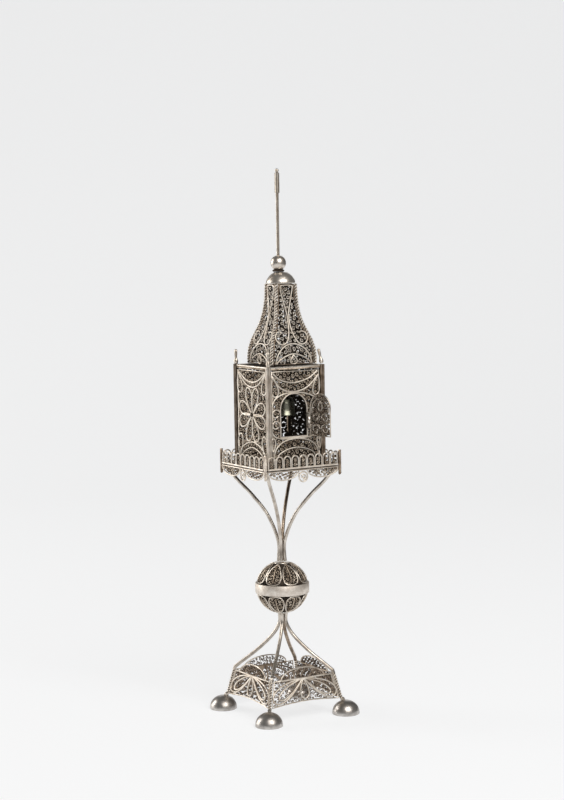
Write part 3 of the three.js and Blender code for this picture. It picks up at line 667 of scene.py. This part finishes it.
def spireSide(z):
    share = (z - spireBottom) / (spireTop - spireBottom)
    return float(np.interp(share, [s for s, _ in spire["profile"]], [side for _, side in spire["profile"]]))


def onSpireFrame(x, y, z, quarters):
    point = turnPoint(x, y, z, quarters + spire["turn"] / 90)
    return (point[0] + spire["shift"][0], point[1] + spire["shift"][1], point[2])


def onSpire(quarters):
    return lambda x, y, out=0.0: onSpireFrame(x, -spireSide(y) / 2 - out, y, quarters)


def spireLevels(inset, steps):
    rise = spireTop - spireBottom - 2 * inset
    return [spireBottom + inset + rise * i / steps for i in range(steps + 1)]


def spirePanelLines():
    main = [hung(spire[name]) for name in ("lowArch", "lowInner", "crown")]
    main.append(teardropLine(*spire["drop"]))
    return main + bothWays([smoothLine(spire["hook"], 4)])


def makeSpire():
    clear = spire["ribRadius"] + spire["gap"]
    levels = spireLevels(spire["edgeIn"], spire["edgeSteps"])
    right = [(spireSide(z) / 2 - clear, z) for z in levels]
    outline = right + [(-x, z) for x, z in reversed(right)]
    main = spirePanelLines()
    look = dict(filigreeLook, rowSize=1.1, sizes=(0.8, 0.58), edgeFinish="wireSilver", frameWire=0.22,
                frameFinish="umberSilver")
    curls = packCurls(outline, main, [], look)
    edge = [looped(outline)]
    for quarters, side in enumerate(sides):
        parts = filigree(onSpire(quarters), main, curls, edge, look, spire["seed"] + quarters)
        makePiece("spireFiligree_" + side, parts, ["spire_panel_" + side])
    levels = spireLevels(0, spire["ribSteps"])
    for quarters, corner in enumerate(corners):
        path = [onSpireFrame(spireSide(z) / 2, -spireSide(z) / 2, z, quarters) for z in levels]
        strands = wireMesh(twistLines(path, spire["ropeReach"], spire["twist"]), spire["ropeWire"])
        # A near-black core fills the gaps between the strands: painted shade in the rope's grooves.
        core = wireMesh([path], spire["ropeCore"])
        makePiece("spireRope_" + corner, [(strands, "wireSilver"), (core, "shadeAndPatinaBlack")],
                  ["spire_rib_" + corner])


makeSpire()
print("spire made")


# Roof edge: a plain wire over a twisted one along each side, on a plate

roof = {
    "half": 13.72, "wire": 0.42, "plainZ": 154.35, "twistZ": 153.62, "reach": 12.5,
    "twistReach": 0.2, "twistPitch": 1.5, "twistWire": 0.24, "plate": 26.8, "plateShare": 0.6, "plateCorner": 1.0,
}


def makeRoof():
    parts = []
    for quarters in range(4):
        ends = [turnPoint(side * roof["reach"], -roof["half"], 0, quarters)[:2] for side in (-1, 1)]
        plain = [(x, y, roof["plainZ"]) for x, y in ends]
        parts.append((wireMesh([plain], roof["wire"], 2), "brightSilver"))
        path = [(x, y, roof["twistZ"]) for x, y in ends]
        twist = twistLines(path, roof["twistReach"], roof["twistPitch"])
        parts.append((wireMesh(twist, roof["twistWire"]), "darkSilver"))
    bottom, top = nodeMiddle("roof_plate")[2:]
    side, thickness = roof["plate"] * mm, (top - bottom) * mm * roof["plateShare"]
    work = bmesh.new()
    bmesh.ops.create_cube(work, size=1.0)
    bmesh.ops.scale(work, verts=work.verts, vec=(side, side, thickness))
    upright = [edge for edge in work.edges if abs(edge.verts[0].co.z - edge.verts[1].co.z) > thickness / 2]
    bmesh.ops.bevel(work, geom=upright, offset=roof["plateCorner"] * mm, affect="EDGES", segments=1, profile=0.5,
                    material=-1)
    plate = moved(meshFrom(work, smooth=False), 0, 0, (bottom + top) / 2)
    parts.append((plate, "shadeAndPatinaBlack"))
    makePiece("roofEdge", parts, ["roof_plate"])


makeRoof()
print("roof made")


# Apron panels

apron = {
    "topSide": 31.8, "topZ": 18.8, "bottomSide": 36.8, "bottomZ": 6.9, "edge": 1.35,
    "band": 11.3, "arch": 4.7, "archHalf": 11.0, "archSteps": 24,
    "bottomRise": 1.2, "bottomIn": 0.3, "bottomSteps": 16, "petalStart": 0.1, "seed": 70,
    "petals": ((8.9, 4.9, -90), (15.2, 4.3, -31), (18.0, 7.4, -28)),
}


def onApron(quarters):
    run, rise = (apron["bottomSide"] - apron["topSide"]) / 2, apron["topZ"] - apron["bottomZ"]
    slope = hypot(run, rise)

    def place(x, y, out=0.0):
        inwards = y * run / slope
        up = y * rise / slope
        return turnPoint(x, -apron["bottomSide"] / 2 + inwards - out * rise / slope,
                         apron["bottomZ"] + up + out * run / slope, quarters)
    return place


def makeApron():
    lowHalf = apron["bottomSide"] / 2 - apron["edge"]
    topHalf = apron["topSide"] / 2 - apron["edge"]
    band = apron["band"]
    steps = apron["bottomSteps"]
    bottomEdge = [(-lowHalf + 2 * lowHalf * i / steps,
                   apron["bottomRise"] * sin(pi * i / steps) + apron["bottomIn"]) for i in range(steps + 1)]
    arch = arcLine(0, band, apron["archHalf"], apron["arch"], 0, pi, apron["archSteps"])
    outline = bottomEdge + [(topHalf, band)] + arch + [(-topHalf, band)]
    main = [[(-apron["archHalf"], band), (apron["archHalf"], band)]]
    for length, width, angle in apron["petals"]:
        petal = teardropLine(apron["petalStart"], band, length, width, angle)
        main += [petal] if angle == -90 else bothWays([petal])
    look = dict(filigreeLook, rowSize=0.98, ribbonFront=0.05, lining=0, ribbon=0.2, edgeFinish="umberSilver",
                shadeWire=0.42, shadeOut=-0.14, shadeFinish="umberSilver")
    curls = packCurls(outline, main, [], look)
    edge = [looped(outline)]
    for quarters, side in enumerate(sides):
        parts = filigree(onApron(quarters), main, curls, edge, look, apron["seed"] + quarters)
        makePiece("apronFiligree_" + side, parts, ["apron_" + side])


makeApron()
print("apron made")


# Balcony: railing of round-topped arches, skirt of scallops, round pendant and twisted corner wires

rail = {
    "arches": 9, "height": 5.7, "floor": 111.0, "side": 37.8, "corner": 0.8, "gap": 0.3,
    "wire": 0.32, "archFoot": 0.3, "archLow": 0.55, "archSteps": 10, "archOut": 0.05,
    "archCurls": ((1.5, 0.95), (3.4, 0.85)), "barWire": 0.45, "barUp": 0.1, "barOut": 0.1,
    "skirtTop": 110.0, "skirt": 3.8, "skirtSteps": 18, "seed": 90,
    "pendant": (107.0, 2.15), "pendantSteps": 24, "spiral": (0.62, 0.3, 1.2, 16),
    "cornerBelow": 0.5, "cornerAbove": 0.4, "cornerReach": 0.36, "cornerPitch": 1.3, "cornerWire": 0.38,
}


def makeBalcony():
    half = rail["side"] / 2 - rail["corner"] - rail["gap"]
    pitch = 2 * half / rail["arches"]
    floor = rail["floor"]
    arches = []
    look = dict(filigreeLook, rowSize=0.8, lining=0.5, shadeWire=0)
    curls = []
    for i in range(rail["arches"]):
        x = -half + pitch * (i + 0.5)
        arches.append(archLine(x, floor + rail["archFoot"], pitch / 2 - rail["wire"],
                               rail["height"] - rail["archLow"], rail["archSteps"]))
        curls += [(x, floor + up, size) for up, size in rail["archCurls"]]
    scallops = []
    dropZ, dropRadius = rail["pendant"]
    reach = (half - dropRadius) / 2
    for side in (-1, 1):
        x = side * (dropRadius + reach)
        scallops.append(arcLine(x, rail["skirtTop"], reach, -rail["skirt"], 0, pi, rail["skirtSteps"]))
    ring = arcLine(0, dropZ, dropRadius, dropRadius, 0, 2 * pi, rail["pendantSteps"])
    share, eye, turns, steps = rail["spiral"]
    pendant = [looped(ring[:-1]), spiralLine(0, dropZ, dropRadius * share, eye, turns, -pi / 2, 1, steps)]
    skirtCurls = [curl for line in scallops for curl in packCurls(line, [line], [], look)]
    bars = [[(-half, z), (half, z)] for z in (floor + rail["barUp"], rail["skirtTop"])]
    for quarters, side in enumerate(sides):
        place = onUpright(rail["side"] / 2, quarters)
        parts = filigree(place, scallops + pendant, curls + skirtCurls, bars[1:], look, rail["seed"] + quarters)
        parts.append((wireMesh(placed(arches, place, rail["archOut"]), rail["wire"]), "wireSilver"))
        parts.append((wireMesh(placed(bars[:1], place, rail["barOut"]), rail["barWire"], 2), "wireSilver"))
        corner = turnPoint(-rail["side"] / 2, -rail["side"] / 2, 0, quarters)
        ends = (floor - rail["skirt"] - rail["cornerBelow"], floor + rail["height"] + rail["cornerAbove"])
        twist = twistLines([(corner[0], corner[1], z) for z in ends], rail["cornerReach"], rail["cornerPitch"])
        # Every corner wire but the front left one gets the darker umber silver: painted shade.
        parts.append((wireMesh(twist, rail["cornerWire"]), "umberSilver" if quarters else "silver"))
        makePiece("balconyFiligree_" + side, parts, ["balcony_side_" + side])


makeBalcony()
print("balcony made")


# Stem ball: eight petals on each half over a dark shell, painted shade for the hollow inside of the ball

ball = {
    "centre": 55.9, "radius": 11.6, "petals": 8, "seam": 2.45, "pole": 3.5, "phase": {1: 36.2, -1: 42.7},
    "petal": [(0, 0.95), (0.16, 0.9), (0.36, 0.7), (0.44, 0.42), (0.42, 0.22), (0.3, 0.07), (0, 0.02)],
    "tipShare": 0.9, "tipWidth": 2.0, "wireIn": 0.35, "leastRound": 0.3, "seed": 110,
    "spine": (0.1, 0.3, 0.5, 0.7, 0.86), "spineOut": 0.1, "spineReach": 0.14, "spinePitch": 1.0, "spineWire": 0.16,
    "shellIn": 0.6, "shellWall": 0.2, "shellSteps": 14, "shellSides": 64,
}


def onBall(turn, half):
    # x is a share of a petal's room round the ball, y the way from the seam to the pole in mm
    def place(x, y, out=0.0):
        rise = asin(ball["seam"] / ball["radius"]) + y / ball["radius"]
        radius = ball["radius"] - ball["wireIn"] + out
        around = turn + x / (ball["radius"] * max(ball["leastRound"], cos(rise)))
        return (radius * cos(rise) * cos(around), radius * cos(rise) * sin(around),
                ball["centre"] + half * radius * sin(rise))
    return place


def ballPetal(reach):
    room = 2 * pi * ball["radius"] / ball["petals"]
    side = []
    for width, share in ball["petal"]:
        rise = asin(ball["seam"] / ball["radius"]) + share * reach / ball["radius"]
        halfWidth = width * room * cos(rise) if share < ball["tipShare"] else width * ball["tipWidth"]
        side.append((halfWidth, share * reach))
    return smoothLine(side + [(-x, y) for x, y in reversed(side[:-1])], 5)


def makeBall():
    reach = ball["radius"] * (acos(ball["pole"] / ball["radius"]) - asin(ball["seam"] / ball["radius"]))
    petal = ballPetal(reach)
    look = dict(filigreeLook, rowSize=0.85, mainOut=0.12, mainWire=0.3, ribbonFront=0.12, lining=0, shadeWire=0,
                mainFinish="silver")
    spine = [(0, reach * share) for share in ball["spine"]]
    curls = packCurls(petal, [petal, spine], [], look)
    for half, node in ((1, "stem_ball_upper"), (-1, "stem_ball_lower")):
        parts = []
        for i in range(ball["petals"]):
            turn = radians(ball["phase"][half]) + 2 * pi * i / ball["petals"]
            place = onBall(turn, half)
            parts += filigree(place, [petal], curls, [], look, ball["seed"] + i)
            path, = placed([spine], place, ball["spineOut"])
            rope = twistLines(path, ball["spineReach"], ball["spinePitch"])
            parts.append((wireMesh(rope, ball["spineWire"]), "darkSilver"))
        inner = ball["radius"] - ball["shellIn"]
        first, last = asin(ball["seam"] / inner), acos(ball["pole"] / inner)
        bowl = arcLine(0, 0, inner, half * inner, first, last, ball["shellSteps"])
        bowl += [(r - ball["shellWall"], z) for r, z in reversed(bowl)]
        shell = turnedMesh(looped(bowl), ball["shellSides"])
        parts.append((moved(shell, 0, 0, ball["centre"]), "shadeAndPatinaBlack"))
        makePiece(node.replace("stem_ball", "ballFiligree"), parts, [node])


makeBall()
print("stem ball made")


# Door leaf

leaf = {
    "near": -0.675, "width": 12.4, "lip": 0.3, "rim": 0.34,
    "scrolls": ((2.75, 3.4, 2.3), (2.75, 8.2, 2.1)), "scrollEye": 0.5, "scrollTurns": 1.0, "scrollSteps": 16,
    "arch": (10.4, 4.9, 6.2), "drop": (0, 15.6, 4.2, 2.8, -90), "seed": 130,
    "knuckle": (0.5, 0.85, 4.0), "knuckleSides": 20,
}


def makeDoor():
    hinge = next(joint for joint in frame["joints"] if joint["name"] == "door_hinge")
    pin = [value / mm for value in hinge["pos_m"]]
    opened = radians(-hinge["range_deg"][0])
    centre = leaf["near"] - leaf["width"] / 2
    base = doorWall["sill"] - leaf["lip"]

    def place(x, y, out=0.0):
        across, away = x + centre, -out
        return (pin[0] + across * cos(opened) - away * sin(opened),
                pin[1] + across * sin(opened) + away * cos(opened), base + y)

    half = leaf["width"] / 2 - leaf["rim"]
    outline = archLine(0, leaf["rim"], half, doorWall["height"] + 2 * leaf["lip"] - 2 * leaf["rim"])
    main = [archLine(0, *leaf["arch"]), teardropLine(*leaf["drop"])]
    for x, y, radius in leaf["scrolls"]:
        main += bothWays([spiralLine(x, y, radius, radius * leaf["scrollEye"], leaf["scrollTurns"], pi, -1,
                                     leaf["scrollSteps"])])
    look = dict(filigreeLook, frameWire=leaf["rim"], frameFinish="silver", mainOut=0, mainWire=0.28, shadeWire=0,
                ribbonBack=-0.3, lining=1.16, liningUp=0.2, mainFinish="silver")
    curls = packCurls(outline, main, [], look)
    parts = filigree(place, main, curls, [looped(outline)], look, leaf["seed"])
    bottom, top = nodeMiddle("door_hinge_pin")[2:]
    inner, outer, length = leaf["knuckle"]
    profile = [(inner, 0), (outer, 0), (outer, length), (inner, length), (inner, 0)]
    knuckle = moved(turnedMesh(profile, leaf["knuckleSides"]), pin[0], pin[1], (bottom + top - length) / 2)
    parts.append((knuckle, "brightSilver"))
    makePiece("doorFiligree", parts, ["door"], body="door")


makeDoor()
print("door made")


# Bent wires of the stem and the legs, given by distance from the axis along a diagonal, and height

stem = {
    "wire": 0.78, "roundness": 4,
    "upper": [(1.5, 67.6), (1.5, 76.56), (6.0, 87.8), (13.0, 96.8), (20.0, 103.9), (24.1, 109.4)],
    "lower": [(1.5, 44.2), (1.6, 39.84), (4.9, 34.24), (12.2, 27.2), (20.9, 20.4), (22.7, 18.0), (26.0, 7.1),
              (27.3, 6.82)],
    "steps": 8, "twisted": (5, 6), "ropeReach": 0.46, "ropeTwist": 2.3, "ropeWire": 0.3, "ropeCore": 0.42,
}


def stemLine(path, quarters):
    line = smoothLine(path, stem["steps"])
    return [turnPoint(d / sqrt(2), -d / sqrt(2), z, quarters) for d, z in line]


def makeStems():
    # Down the apron's corner a leg is twisted wire.
    first, last = [stem["steps"] * index for index in stem["twisted"]]
    for quarters, corner in enumerate(corners):
        # The back right wire gets the darker umber silver: painted shade.
        finish = "umberSilver" if corner == "back_right" else "stemSilver"
        upper = wireMesh([stemLine(stem["upper"], quarters)], stem["wire"], stem["roundness"])
        makePiece("stemWire_" + corner, [(upper, finish)], ["stem_wire_" + corner])
        line = stemLine(stem["lower"], quarters)
        rope = line[first:last + 1]
        parts = [
            (wireMesh([line[:first + 1], line[last:]], stem["wire"], stem["roundness"]), finish),
            (wireMesh(twistLines(rope, stem["ropeReach"], stem["ropeTwist"]), stem["ropeWire"]), "silver"),
            # A near-black core fills the gaps between the strands: painted shade in the rope's grooves.
            (wireMesh([rope], stem["ropeCore"]), "shadeAndPatinaBlack"),
        ]
        makePiece("legWire_" + corner, parts, ["leg_wire_" + corner])


makeStems()
print("stems made")


# Turned parts: each profile is (radius, height above the node's lowest point)
# The cap and the pins start below that point, so that they rest on what carries them.

turned = {
    "foot": [(0, 0), (5.75, 0), (6.05, 0.25)], "footRim": 0.7, "footHeight": 6.18, "footSteps": 16,
    "cap": [(6.2, -0.24), (6.42, 0.1), (6.25, 1.0), (5.75, 1.9), (5.1, 2.8), (4.3, 3.6), (3.4, 4.25), (2.6, 4.6),
            (0, 4.7)],
    "capInside": [(0, 3.7), (3.6, 2.3), (5.4, 0.8), (5.65, -0.24), (6.2, -0.24)], "capSteps": 4,
    "finialRadius": 3.4, "finialSteps": 22,
    "pinLean": 13, "pinLift": 0.56, "pinSides": 20,
    "pin": [(0, -0.27), (0.66, -0.27), (0.84, 0.05), (1.0, 1.0), (0.7, 1.8), (0.55, 2.1), (0.55, 3.4), (0.65, 4.0),
            (0.65, 5.8), (0.4, 6.2), (0, 6.2)],
    "disc": [(0, 0), (3.4, 0), (3.58, 0.15), (3.58, 0.45), (3.4, 0.6), (0, 0.6)],
    "belt": [(11.2, 0), (11.75, 0), (11.95, 0.25), (11.95, 4.35), (11.75, 4.6), (11.2, 4.6), (11.2, 0)],
    "neck": [(0, 0), (2.3, 0), (2.6, 0.3), (2.6, 0.7), (2.3, 0.9), (0, 0.9)],
}


def footProfile():
    radius, rim = turned["foot"][-1][0], turned["footRim"]
    dome = arcLine(0, rim, radius, turned["footHeight"] - rim, 0, pi / 2, turned["footSteps"])
    return turned["foot"] + dome[:-1] + [(0, turned["footHeight"])]


def makeTurned(name, node, profile, finish, segments=64):
    x, y, bottom = nodeMiddle(node)[:3]
    makePiece(name, [(moved(turnedMesh(profile, segments), x, y, bottom), finish)], [node])


def makePin(corner):
    # The front right pin is bent over toward the spire.
    x, y = nodeMiddle("post_" + corner)[:2]
    bottom = nodeMiddle("corner_pin_" + corner)[2]
    lean = radians(turned["pinLean"] if corner == "front_right" else 0)
    shape = turnedMesh(turned["pin"], turned["pinSides"])
    shape.transform(Matrix.Rotation(lean, 4, Vector((y, -x, 0)).normalized()))
    moved(shape, x, y, bottom + turned["pinLift"] * sin(lean))
    makePiece("cornerPin_" + corner, [(shape, "silver")], ["corner_pin_" + corner])


def makeTurnedParts():
    foot = footProfile()
    cap = turned["capInside"] + smoothLine(turned["cap"], turned["capSteps"])
    radius = turned["finialRadius"]
    finial = arcLine(0, radius, radius, radius, -pi / 2, pi / 2, turned["finialSteps"])
    for corner in corners:
        makeTurned("footDome_" + corner, "foot_" + corner, foot, "pewterSilver")
        makePin(corner)
    makeTurned("beltBand", "stem_ball_belt", turned["belt"], "satinSilver", segments=96)
    for end in ("top", "bottom"):
        makeTurned("stemDisc_" + end, "stem_collar_" + end, turned["disc"], "brightSilver")
    makeTurned("capDome", "spire_cap", cap, "softSilver")
    makeTurned("finialBall", "finial_ball", finial, "softSilver")
    # The neck ring is near black: painted shade in the gap under the finial ball.
    makeTurned("neckRing", "neck_collar", turned["neck"], "shadeAndPatinaBlack")


makeTurnedParts()
print("turned parts made")


# Corner posts: four round wires soldered side by side, black on the side of the chamber as painted shade; the two
# right posts are darker umber, painted shade too

post = {
    "half": 0.51, "wire": 0.53, "roundness": 3,
    # The right posts get the darker umber silver: painted shade.
    "finish": {"front_left": "silver", "back_left": "smokedSilver", "front_right": "umberSilver",
               "back_right": "umberSilver"},
}


def makePosts():
    for corner in corners:
        x, y, bottom, top = nodeMiddle("post_" + corner)
        parts = []
        for dx in (-post["half"], post["half"]):
            for dy in (-post["half"], post["half"]):
                # The wire toward the chamber is near black: painted shade.
                inward = dx * x < 0 and dy * y < 0
                line = [(x + dx, y + dy, z) for z in (bottom, top)]
                parts.append((wireMesh([line], post["wire"], post["roundness"]),
                              "shadeAndPatinaBlack" if inward else post["finish"][corner]))
        makePiece("postWires_" + corner, parts, ["post_" + corner])


makePosts()
print("posts made")


# Pole: two thin wires side by side up to a knob

mast = {
    "wire": 0.36, "half": 0.3, "roundness": 3, "turn": -31, "wireBelow": 0.85,
    "knob": [(0, 0), (0.6, 0.15), (0.85, 0.75), (0.62, 1.4), (0, 1.7)], "knobSides": 20,
}


def makeMast():
    x, y, bottom, top = nodeMiddle("pole")
    turn = radians(mast["turn"])
    lines = []
    for side in (-1, 1):
        dx, dy = side * mast["half"] * cos(turn), side * mast["half"] * sin(turn)
        lines.append([(x + dx, y + dy, z) for z in (bottom, top - mast["wireBelow"])])
    wires = wireMesh(lines, mast["wire"], mast["roundness"])
    knob = moved(turnedMesh(mast["knob"], mast["knobSides"]), x, y, top - mast["knob"][-1][1])
    makePiece("poleWires", [(wires, "silver"), (knob, "silver")], ["pole"])


makeMast()
print("mast made")


# Bell: a smooth cup with round shoulders, and the ear that it hangs by

bell = {
    "radius": 5.0, "height": 8.4, "wall": 0.5, "sides": 48,
    "outside": [(0, 1), (0.4, 0.965), (0.68, 0.85), (0.82, 0.66), (0.87, 0.3), (1, 0)], "outsideSteps": 5,
    "inside": [(1, 0), (0.87, 0.32), (0.82, 0.62), (0.6, 0.8), (0, 0.857)], "insideSteps": 4,
    "ear": 1.0, "earWire": 0.3, "earSunk": 0.25, "earSteps": 20,
}


def makeBell():
    x, y, bottom = nodeMiddle("bell")[:3]
    outside = smoothLine(bell["outside"], bell["outsideSteps"])
    inside = smoothLine(bell["inside"], bell["insideSteps"])
    profile = [(r * bell["radius"], z * bell["height"]) for r, z in outside]
    profile += [(max(0, r * bell["radius"] - bell["wall"]), z * bell["height"]) for r, z in inside]
    cup = moved(turnedMesh(profile, bell["sides"]), x, y, bottom)
    earZ = bottom + bell["height"] + bell["ear"] + bell["earWire"] - bell["earSunk"]
    ring = [(x, *point) for point in arcLine(y, earZ, bell["ear"], bell["ear"], 0, 2 * pi, bell["earSteps"])]
    ear = wireMesh([looped(ring[:-1])], bell["earWire"], 2)
    makePiece("bellCup", [(cup, "agedBronze"), (ear, "agedBronze")], ["bell"], body="bell")


makeBell()
print("bell made")


# CAD nodes that keep their own shape get their finish here

kept = {
    "balcony_floor": "shadeAndPatinaBlack", "door_hinge_pin": "brightSilver", "pennant": "silver",
    "bell_hook": "darkSilver", "bell_clapper": "darkSilver",
}
for node, finish in kept.items():
    data = frame["nodes"][node].data
    data.materials.clear()
    data.materials.append(materials[finish])
print("CAD nodes finished")


# Studio: pale sweep that shows at its own colour to the camera with a painted falloff of light toward the top, soft
# lamps

studio = {
    "halfWidth": 0.55, "front": -1.0, "back": 1.6, "sweep": 0.9, "sweepSteps": 16, "wallTop": 1.4,
    "paper": (0.84, 0.865, 0.90, 1), "rough": 0.9, "sheen": 0.1,
    "shown": (0.997, 1.0, 1.003, 1), "shownShare": 0.62, "glowLow": 1.15, "glowHigh": 1.13, "fade": 2.2,
    "air": (1.0, 0.985, 0.96, 1), "airStrength": 0.14, "lampColor": (1.0, 0.965, 0.92), "lampTarget": (0, 0, 0.12),
}
lamps = {
    "leftLamp": {"fromCamera": -108, "up": 15, "distance": 1.3, "size": (0.6, 0.95), "power": 8},
    "keyLamp": {"fromCamera": 26, "up": 40, "distance": 1.25, "size": (0.95, 0.85), "power": 11},
}


def makeStudio():
    turn = radians(camera["azimuth"])
    work = bmesh.new()
    start = studio["back"] - studio["sweep"]
    sweep = arcLine(start, studio["sweep"], studio["sweep"], studio["sweep"], -pi / 2, 0, studio["sweepSteps"])
    profile = [(studio["front"], 0.0), *sweep, (studio["back"], studio["wallTop"])]
    points = [work.verts.new((-studio["halfWidth"], y, z)) for y, z in profile]
    edges = [work.edges.new(pair) for pair in zip(points, points[1:])]
    swept = bmesh.ops.extrude_edge_only(work, edges=edges)
    made = [v for v in swept["geom"] if isinstance(v, bmesh.types.BMVert)]
    bmesh.ops.translate(work, verts=made, vec=(2 * studio["halfWidth"], 0, 0))
    bmesh.ops.rotate(work, verts=work.verts, cent=(0, 0, 0), matrix=Matrix.Rotation(turn, 3, "Z"))
    data = bpy.data.meshes.new("backdrop")
    work.to_mesh(data)
    work.free()
    for face in data.polygons:
        face.use_smooth = True
    finish = Finish("backdropPaper")
    finish.set("Base Color", studio["paper"])
    finish.set("Roughness", studio["rough"])
    finish.set("Specular IOR Level", studio["sheen"])
    path = finish.node("ShaderNodeLightPath")
    glossy = Socket(finish.tree, path.socket.node.outputs["Is Glossy Ray"])
    through = Socket(finish.tree, path.socket.node.outputs["Is Transmission Ray"])
    seen = (path + glossy + through) * studio["shownShare"]
    # The sweep shows a little brighter low down than high up: a painted falloff of light.
    place = finish.node("ShaderNodeTexCoord", output=3)
    height = finish.node("ShaderNodeSeparateXYZ", inputs={0: place}, output=2)
    rise = finish.node("ShaderNodeMath", {"operation": "MULTIPLY", "use_clamp": True},
                       {0: height, 1: studio["fade"]})
    lower, upper = [finish.node("ShaderNodeEmission", inputs={"Color": studio["shown"], "Strength": studio[level]})
                    for level in ("glowLow", "glowHigh")]
    glow = finish.node("ShaderNodeMixShader", inputs={0: rise, 1: lower, 2: upper})
    lit = Socket(finish.tree, finish.shader.outputs[0])
    blend = finish.node("ShaderNodeMixShader", inputs={0: seen, 1: lit, 2: glow})
    feed(finish.tree, finish.tree.nodes["Material Output"].inputs[0], blend)
    data.materials.append(finish.material)
    addObject("backdrop", data)


def makeLamp(name, lamp):
    data = bpy.data.lights.new(name, "AREA")
    data.shape = "RECTANGLE"
    data.size, data.size_y = lamp["size"]
    data.energy = lamp["power"]
    data.color = studio["lampColor"]
    thing = addObject(name, data)
    a, e = radians(camera["azimuth"] + lamp["fromCamera"]), radians(lamp["up"])
    out = Vector((sin(a) * cos(e), -cos(a) * cos(e), sin(e)))
    thing.location = Vector(studio["lampTarget"]) + out * lamp["distance"]
    thing.rotation_euler = (-out).to_track_quat("-Z", "Y").to_euler()


def makeWorld():
    world = bpy.data.worlds.new("studioAir")
    bpy.context.scene.world = world
    world.use_nodes = True
    back = world.node_tree.nodes["Background"]
    back.inputs["Color"].default_value = studio["air"]
    back.inputs["Strength"].default_value = studio["airStrength"]


makeStudio()
makeWorld()
for name, lamp in lamps.items():
    makeLamp(name, lamp)
bpy.context.scene.view_settings.view_transform = "Standard"
print("studio made")
